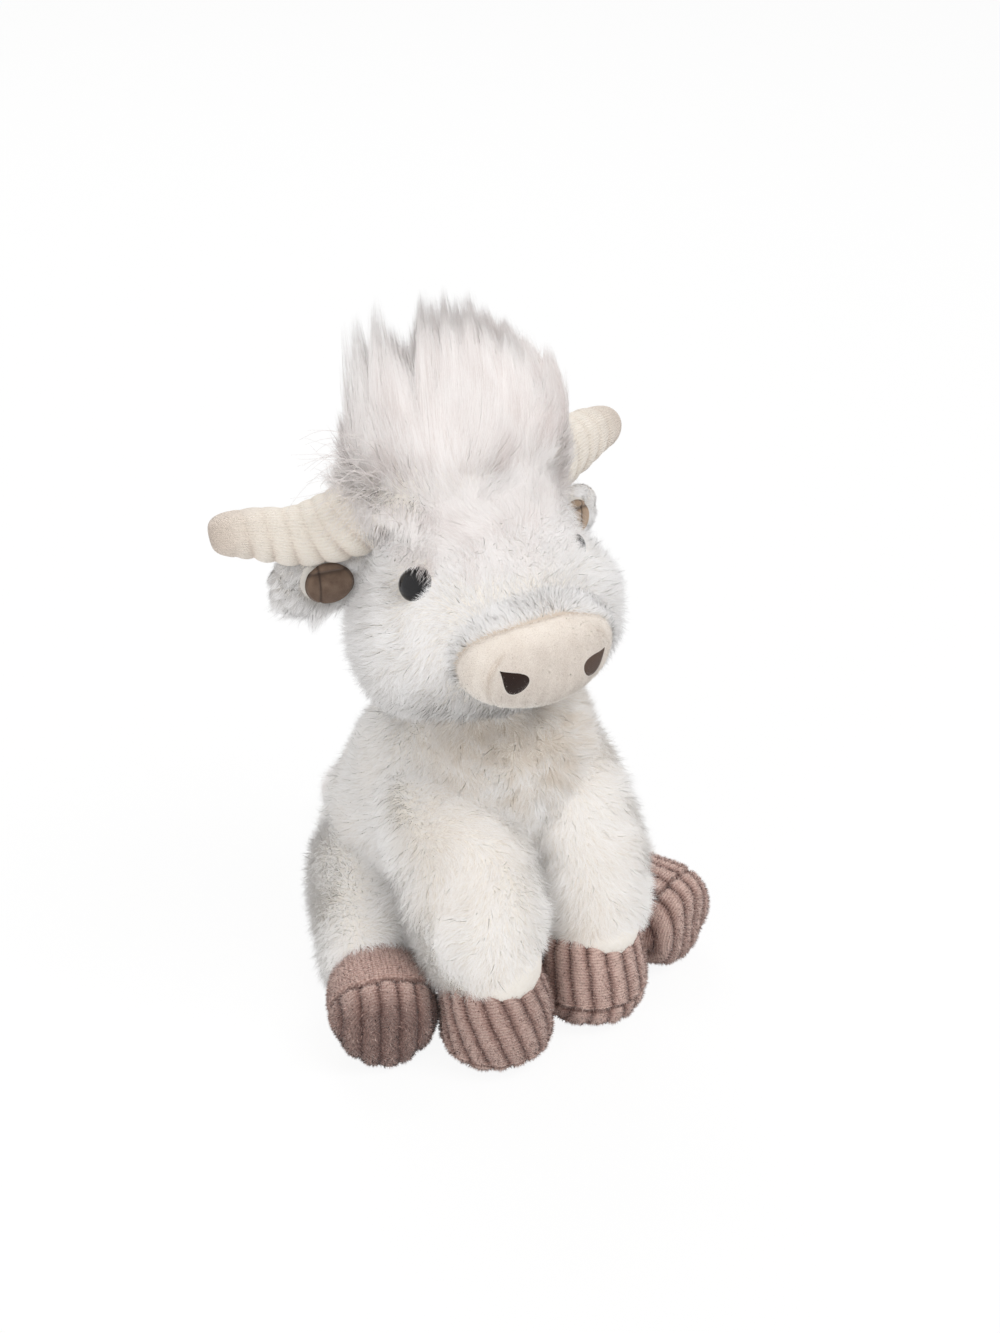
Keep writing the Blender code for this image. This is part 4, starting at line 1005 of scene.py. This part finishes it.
# Drawn legs: fullness of each station, and its shift in millimetres to the cow's left and front
SHIFT_WAY = np.array((0.87, -0.49, 0)) * MM
LEGS = {"front_leg_left": ((1, 1, 1.02, 1.02, 0.92, 0.78), (2, 2, 2, 2, 2, 2)),
        "front_leg_right": ((1.12, 1.10, 1.12, 1.16, 0.98, 0.80), (1.5, 1.5, 1.5, 1.5, 1.5, 1.5)),
        "hind_leg_left": ((1, 1, 1, 0.97, 0.90, 0.80), (0, 0, 0, 0, 0, 0)),
        "hind_leg_right": ((0.95, 0.95, 0.97, 0.97, 0.90, 0.80), (5, 5, 3.5, 1, 0, 0))}
# Painted light and shade: a step of tone for each leg's fur, lighter on the cow's right hind leg and a little
# darker on its left front leg.
LEG_LIGHT_AND_SHADE = {"front_leg_left": -0.06, "front_leg_right": 0.0, "hind_leg_left": 0.0, "hind_leg_right": 0.30}
leg_bases, leg_grids, leg_fillings = {}, {}, {}
for name, stations in leg_data.items():
    drawn = [(c + shift * SHIFT_WAY, a * full, b * full)
             for (c, a, b), full, shift in zip(stations, *LEGS[name])]
    form = tube(drawn, rows=56, columns=64, inset=4.2 * MM)
    leg_bases[name], leg_grids[name] = fur_base(name, form, name, name, 3)
    leg_fillings[name] = ([(c, a - 5.4 * MM, b - 5.4 * MM) for c, a, b in drawn[:-1]]
                          + [(c, a - 4.0 * MM, b - 4.0 * MM) for c, a, b in hoof_data[name][1:-1]])

# Fur of the torso, more ruffled on the chest and darkened there by painted shade
roots, normals = kept_roots(torso_grid, 165000, 21, [(head_tree, 1.5 * MM)]
                            + [(tree_of(item), 3 * MM) for item in leg_bases.values()])
flow = swirl(tangent(DOWN, normals), normals, roots, 0.045, 0.8, 22)
flow = swirl(flow, normals, roots, 0.012, 0.5, 26)
chest = np.exp(-(((roots - (0, -0.072, 0.115)) / (0.030, 0.030, 0.028)) ** 2).sum(-1))
flow = swirl(flow, normals, roots, 0.006, 1.1 * chest, 28)
# Painted shade: the chest under the head darker, in patches, and the cow's right side darker.
tone = (tones(roots, np.random.default_rng(25), 0.55, 0.14, 0.02, 24, 0.12) - 0.62 * chest
        + 0.40 * chest * ripple(roots, 0.004, 29) - 0.16 * smooth(-0.030, -0.050, roots[:, 0]))
length = 7.8 + 0.8 * ripple(roots, 0.015, 27)
grow("torso_fur", "torso", "torso_skin", "fur", FUR, roots, normals, flow, length, 23, tone=tone, **PLUSH)

# Fur of the head, and of the brow above the muzzle's panel
roots, normals = kept_roots(head_grid, 90000, 31, [(muzzle_tree, 1.5 * MM), (torso_tree, 3 * MM)])
eye_space = near_eye(roots)
keep = eye_space > 6.4 * MM
roots, normals, eye_space = roots[keep], normals[keep], eye_space[keep]
flow = tangent(unit(roots - MUZZLE_CENTRE) + DOWN * 0.6, normals)
flow = swirl(swirl(flow, normals, roots, 0.022, 0.9, 32), normals, roots, 0.010, 0.5, 34)
gap = np.linalg.norm((roots - MUZZLE_CENTRE) * (0.8, 1, 1.1), axis=1)
jaw = smooth(0.150, 0.130, roots[:, 2])
length = (5.6 - 1.6 * jaw) * smooth(0.020, 0.050, gap) * smooth(6 * MM, 12 * MM, eye_space) + 2.3
# Painted shade darkens the fur on the lower front of the face.
low = smooth(0.165, 0.135, roots[:, 2]) * smooth(-0.015, -0.050, roots[:, 1])
tone = tones(roots, np.random.default_rng(38), 0.56, 0.10, 0.02, 39, 0.12) - 0.42 * low
grow("head_fur", "head", "head_skin", "fur", HEAD_FUR, roots, normals, flow, length, 33, lift=0.15, tone=tone,
     **PLUSH)
roots, normals = scatter(muzzle_grid, 60000, 35)[:2]
behind = -panel_edge(roots)
keep = (behind > 0.2 * MM) & (roots[:, 2] > 0.153) & (depth_inside(head_tree, roots) < 2 * MM)
roots, normals, behind = roots[keep], normals[keep], behind[keep]
flow = tangent(np.array((0, 1.0, 0.3)) + (roots - MUZZLE_CENTRE) * (12, 0, 0), normals)
flow = swirl(flow, normals, roots, 0.010, 1.0, 36)
length = 3.4 + 2.4 * smooth(0, 0.006, behind)
grow("brow_fur", "head", "head_skin", "fur", HEAD_FUR, roots, normals, flow, length, 37, lean=35, lift=0.15,
     **PLUSH)

# Fur of the legs, shorter at the hoof
for index, (name, grid) in enumerate(leg_grids.items()):
    roots, normals = kept_roots(grid, 48000, 41 + index, [(torso_tree, 6 * MM)], start=0.10)
    end = np.array(leg_data[name][-2][0])
    axis = unit(end - np.array(leg_data[name][-4][0]))
    tilt = (roots - end)[:, 0] * (0.30 if name == "front_leg_right" else 0.0)
    above = -(roots - end) @ axis - tilt
    keep = above > 0.5 * MM
    roots, normals, above = roots[keep], normals[keep], above[keep]
    flow = swirl(tangent(axis + DOWN * 0.25, normals), normals, roots, 0.03, 0.7, 51 + index)
    flow = swirl(flow, normals, roots, 0.012, 0.5, 56 + index)
    length = 8.2 - 2.8 * smooth(0.011, 0.001, above)
    rng = np.random.default_rng(66 + index)
    # with each leg's step of painted light and shade
    tone = tones(roots, rng, 0.55, 0.10, 0.02, 71 + index, 0.12) + LEG_LIGHT_AND_SHADE[name]
    grow(f"{name}_fur", name, name, "fur", FUR, roots, normals, flow, length, 61 + index, lift=0.2, tone=tone,
         **PLUSH)

# Ears, with a fringe along the lower edge and the lining's place left bare
EAR_MIDDLE = EAR_ROOT + (EAR_TIP - EAR_ROOT) * 0.58
for side_name, side in SIDES.items():
    body = f"ear_{side_name}"
    form = tube(ear_stations(side), (0, 1, 0), rows=40, columns=64, inset=3.2 * MM)
    roots, normals = kept_roots(fur_base(body, form, body, body, 71, uneven=0.2)[1], 20000, 72,
                                [(head_tree, 2 * MM)])
    middle = mirrored(EAR_MIDDLE, side)
    place = (roots - middle) / (0.0082, 1, 0.0080)
    bare = (normals[:, 1] < -0.1) & (place[:, 0] ** 2 + place[:, 2] ** 2 < 1)
    roots, normals = roots[~bare], normals[~bare]
    flow = tangent(np.array((side * 1.0, 0, -0.8)), normals)
    low = smooth(0.004, -0.010, roots[:, 2] - middle[2])
    fringe = low * (1 - np.abs(normals[:, 1]))
    outer = smooth(0.0, 0.8, normals[:, 0] * side)
    length = (4.2 + 2.0 * low + 5.5 * fringe - 1.5 * outer) * (1.0 if side < 0 else 0.55)
    grow(f"{body}_fur", body, body, "fur", HEAD_FUR, roots, normals, flow, length, 73, lean=50 - 28 * fringe,
         clump=0.008, pull=0.92, jitter=0.14, vary=0.5, width=0.25, lift=0.2)

# Tail and tuft
tail_form, tuft_form = tail_stations()
grid = fur_base("tail", tube(tail_form, rows=32, columns=40, inset=2.8 * MM), "tail", "tail", 81)[1]
roots, normals = kept_roots(grid, 7000, 82)
flow = tangent(np.array((0, 0.6, -1)), normals)
grow("tail_fur", "tail", "tail", "fur", FUR, roots, normals, flow, 8.0, 83)
grid = fur_base("tail_tuft", tube(tuft_form, rows=32, columns=40, inset=4.0 * MM), "tail", "tail_tuft",
                84)[1]
roots, normals = kept_roots(grid, 6000, 85, ground=1 * MM)
flow = tangent(np.array((0, 0.5, -1)), normals)
grow("tail_tuft_fur", "tail", "tail_tuft", "long_fur", LONG_FUR, roots, normals, flow, 8.5, 86, lean=65)

# Forelock: long hair from a low core and from the brow, up into locks along the skyline
CORE_HEIGHT = 0.54
CORE_FILL = (0.84, 0.88, 0.90, 0.94, 1.00, 1.20)

# Places of the locks' tips on the upright plane that faces the camera: along it, and height
LOCKS = np.array((
    (-45, 232), (-42.5, 252), (-41.5, 264.8), (-37.5, 267.0), (-30.5, 271.8), (-25.5, 262), (-20.5, 253),
    (-14.4, 273.3), (-10.8, 271), (-6.9, 274.0), (-2.8, 272.0), (1.6, 272.2), (6.8, 267.2), (14.6, 262.8),
    (21.9, 256.4), (29.9, 253.2), (37.2, 246.5), (42, 231))) * MM
LOCK_PLANE = np.array((0, -0.018, 0.235))
LOCK_ALONG = np.array((math.cos(CAMERA_TURN), -math.sin(CAMERA_TURN), 0))
LOCK_THROUGH = np.array((math.sin(CAMERA_TURN), math.cos(CAMERA_TURN), 0))
LOCK_LEAN = 2.5 * MM


def lock_ends(roots, seed, spread, through):
    """The lock tip that each root's hair runs to, with how far from it the hair ends."""
    rng = np.random.default_rng(seed)
    along = (roots - LOCK_PLANE) @ LOCK_ALONG * 1.08 - LOCK_LEAN
    wander = (ripple(roots, 0.006, 87) * 1.6 + np.where(rng.uniform(size=len(roots)) < 0.3, -4.5, 0)) * MM
    pick = np.abs((along + wander)[:, None] - LOCKS[:, 0]).argmin(1)
    beside = (along - LOCKS[pick, 0]) * spread + rng.normal(size=len(roots)) * 0.4 * MM
    behind = (roots - LOCK_PLANE) @ LOCK_THROUGH * through + rng.normal(size=len(roots)) * 1.5 * MM
    return (LOCK_PLANE * (1, 1, 0) + LOCK_ALONG * (LOCKS[pick, 0] + beside)[:, None]
            + LOCK_THROUGH * behind[:, None] - DOWN * LOCKS[pick, 1][:, None])


def rising(roots, seed):
    """Flow of the forelock's hair: up, fanned a little and swept to the cow's right."""
    fan = rows_of(roots[:, 0] * 3.5 - 0.10, roots[:, 1] * 3 + 0.02, 1.0)
    wave = rows_of(ripple(roots, 0.013, seed), ripple(roots, 0.011, seed + 1), 0.0)
    return unit(fan + wave * (0.26, 0.16, 0))


core = [((x * 0.9, -0.016, 0.190 + (z - 0.190) * CORE_HEIGHT), w * fill, d * fill)
        for (w, d, x, z), fill in zip(FORELOCK, CORE_FILL)]
lock_base, lock_grid = fur_base("forelock", tube(core, rows=50, columns=64), "head", "forelock",
                                91)
lock_tree = tree_of(lock_base)

# Mass of the forelock, falling between the horn and the eye on the cow's right
roots, normals = kept_roots(lock_grid, 48000, 92, [(head_tree, 2 * MM)])
low = (smooth(0.216, 0.202, roots[:, 2]) * smooth(0.1, -0.4, normals[:, 1] + 0.3 * normals[:, 0])
       * smooth(-0.016, -0.028, roots[:, 0]))
fall = rows_of(roots[:, 0] * 4, -0.50, -1.0)
flow = unit(rising(roots, 95) * (1 - low)[:, None] + fall * low[:, None])
flank = smooth(0.018, 0.034, np.abs(roots[:, 0]))
right_top = smooth(0.004, 0.016, (roots - LOCK_PLANE) @ LOCK_ALONG)
length = (19 - 4 * low - 7 * flank - 3 * right_top) * (0.90 + 0.22 * ripple(roots, 0.009, 96))
hold = smooth(0.214, 0.228, roots[:, 2]) * (0.42 - 0.22 * right_top)
tone = tones(roots, np.random.default_rng(94), 0.5, 0.34, 0.007, 97, 0.16)
grow("forelock_fur", "head", "forelock", "long_fur", LONG_FUR, roots, normals, flow, length, 93,
     lean=62 + 10 * ripple(roots, 0.008, 98), clump=0.012, pull=0.6, jitter=0.14, vary=0.25, lift=0.35,
     lock=(lock_ends(roots, 90, 0.9, 0.8), hold), tone=tone, **LONG)

# Locks that stand out of it
roots, normals = kept_roots(lock_grid, 30000, 121, [(head_tree, 2 * MM)])
keep = roots[:, 2] > 0.216
roots, normals = roots[keep], normals[keep]
tone = tones(roots, np.random.default_rng(122), 0.40, 0.30, 0.006, 123, 0.20)
grow("forelock_locks", "head", "forelock", "long_fur", LONG_FUR, roots, normals, rising(roots, 95), 16.0, 124,
     lean=60, clump=0.05, pull=0.2, jitter=0.10, lift=0.2, parts=2, tone=tone,
     lock=(lock_ends(roots, 125, 0.26, 0.4), np.ones(len(roots))), **LONG)

# Hair that rises from the brow in front of it
roots, normals = kept_roots(head_grid, 130000, 126, [(lock_tree, 1 * MM)])
keep = (roots[:, 2] > 0.185) & (roots[:, 1] < -0.014) & (np.abs(roots[:, 0]) < 0.040)
roots, normals = roots[keep], normals[keep]
rng = np.random.default_rng(127)
high = smooth(0.184, 0.200, roots[:, 2])
back = (rng.uniform(size=len(roots)) > 0.45 + 0.55 * high)[:, None]
falling = rows_of(roots[:, 0] * 6, -0.4, -1.0)
flow = swirl(tangent(np.where(back, falling, rising(roots, 95)), normals), normals, roots, 0.009, 0.5, 128)
tone = tones(roots, rng, 0.5, 0.34, 0.007, 97, 0.16)
grow("brow_hair", "head", "forelock", "long_fur", LONG_FUR, roots, normals, flow, 8 + 10 * high, 129, lean=58,
     clump=0.03, pull=0.6, jitter=0.20, vary=0.3, lift=0.35, tone=tone, parts=2, **LONG)


def make_wisps(name, count, seed):
    """Thin curly hairs that stray outward over the horn at the forelock's right side."""
    rng = np.random.default_rng(seed)
    steps, half = 26, 0.17 * MM
    share = np.linspace(0, 1, steps)[:, None]
    points, faces = [], []
    for _ in range(count):
        start = np.array((-0.034, -0.020, 0.208)) + rng.normal(size=3) * (0.003, 0.006, 0.007)
        reach = rng.uniform(0.014, 0.030)
        end = start + np.array((-1.0, rng.uniform(-0.4, 0.2), rng.uniform(-0.4, 0.9))) * reach
        lift = np.array((rng.uniform(-0.6, 0.2), rng.uniform(-0.6, 0.0), rng.uniform(0.2, 0.9))) * reach
        spine = bend(start, start + lift, end, share)
        turns = rng.uniform(0.6, 1.8) * math.tau * share + rng.uniform(0, math.tau)
        size = rng.uniform(0.0008, 0.0026) * share
        spine = spine + np.hstack([np.cos(turns), np.sin(turns * 0.7) * 0.5, np.sin(turns)]) * size
        ahead = unit(np.gradient(spine, axis=0))
        side = unit(np.cross(ahead, (0.5, 0.8, 0.3)))
        width = half * (1.1 - 0.8 * share)
        for offset in (side, np.cross(side, ahead)):
            first = len(points)
            points += (spine - offset * width).tolist() + (spine + offset * width).tolist()
            faces += [(k, k + 1, steps + k + 1, steps + k) for k in range(first, first + steps - 1)]
    mesh = bpy.data.meshes.new(name)
    mesh.from_pydata(points, [], faces)
    mesh.shade_smooth()
    corners = np.array(faces).ravel()
    along = np.linspace(0.3, 0.98, steps)[corners % steps]
    add_strand_maps(mesh, np.stack([0.25 + 0.003 * (corners // steps % 2), along], -1))
    place_piece(linked(name, mesh), LONG_FUR, "head", "forelock")


make_wisps("forelock_wisps", 90, 99)


# Suede linings of the ears, with a seam down and a fold along the top
def suede_material(name, dark, light):
    made, tree, shader = material(name, 0.92, Sheen_Weight=0.2)
    colour = ramp(tree, noise(tree, 260.0, 4.0), [(0.3, dark), (0.75, light)])
    colour = mix_colour(tree, stored(tree, "line"), colour, (0.045, 0.028, 0.020))
    finish_material(tree, shader, colour, noise(tree, 2200.0), 0.5, 0.3 * MM)
    return made


# The left lining is the same suede painted lighter, as painted light falling on it.
SUEDE = {"right": suede_material("suede", (0.095, 0.060, 0.042), (0.185, 0.125, 0.088)),
         "left": suede_material("suede_painted_light", (0.30, 0.215, 0.15), (0.50, 0.37, 0.27))}
for side_name, side in SIDES.items():
    body = f"ear_{side_name}"
    form = tube(ear_stations(side), (0, 1, 0), rows=60, columns=120)
    surface = grid_object(f"{body}_surface", form["grid"])
    surface_tree = tree_of(surface)
    bpy.data.objects.remove(surface)
    middle = mirrored(EAR_MIDDLE, side)
    turns = np.linspace(0, math.tau, 96, endpoint=False)
    rings = np.linspace(1.0, 0.0, 30, endpoint=False)
    points, lines = [], []
    for ring in rings:
        rim = float(smooth(0.86, 1.0, ring))
        for turn in turns:
            x, z = 0.0086 * ring * math.cos(turn) - side * 0.0006, 0.0085 * ring * math.sin(turn)
            hit, normal, _, _ = surface_tree.ray_cast(Vector((middle[0] + x, RAY_START, middle[2] + z)), BACK)
            seam = bell(x * side - z * 0.05, 0.0028, 0.00035)
            fold = bell(z + x * side * 0.1, 0.0050, 0.0008)
            rise = 0.0007 - 0.0005 * seam - 0.0006 * fold + 0.0003 * (z > 0.0058) - 0.0012 * rim
            points.append(hit + normal * rise)
            lines.append(min(1.0, seam * 0.85 + fold * 0.7 + rim * 0.5))
    grid = np.array(points).reshape(len(rings), len(turns), 3)
    lining = grid_object(f"{body}_suede", grid, cap_start=False)
    set_values(lining, "line", np.array(lines))
    place_piece(lining, SUEDE[side_name], body, f"ear_lining_{side_name}")

# Washers, pellets and the fillings of head and torso keep their solid form and take a finish
FINISHES = {
    "fill": speckled_material("fibre_fill", (0.80, 0.80, 0.80), (0.93, 0.93, 0.93), 0.95, 500.0),
    "pellets": speckled_material("pellet_cloth", (0.45, 0.50, 0.56), (0.60, 0.65, 0.70), 0.9, 700.0),
    "washer": speckled_material("washer_plastic", (0.70, 0.70, 0.68), (0.78, 0.78, 0.76), 0.5, 300.0)}
slots = {entry["node"]: entry["material_slot"] for entry in frame["record"]["subparts"]}
for name, node in frame["nodes"].items():
    if slots.get(name) in FINISHES:
        node.data.materials.clear()
        node.data.materials.append(FINISHES[slots[name]])

# Fillings of the horns and legs follow the drawn cloth round them
FILLING_GROUND = 2.5 * MM
for side_name, stations in horn_data.items():
    form = tube(stations, (0, 1, 0), rows=70, columns=48, inset=2.2 * MM, fullness=HORN_CLOTH)
    place_piece(grid_object(f"horn_filling_{side_name}", form["grid"]), FINISHES["fill"], "head",
                f"horn_stuffing_{side_name}")
for name, stations in leg_fillings.items():
    grid = tube(stations, rows=60, columns=48, fullness=HOOF_CLOTH)["grid"]
    grid[..., 2] = np.maximum(grid[..., 2], FILLING_GROUND)
    place_piece(grid_object(f"{name}_filling", grid), FINISHES["fill"], name, f"{name}_stuffing")
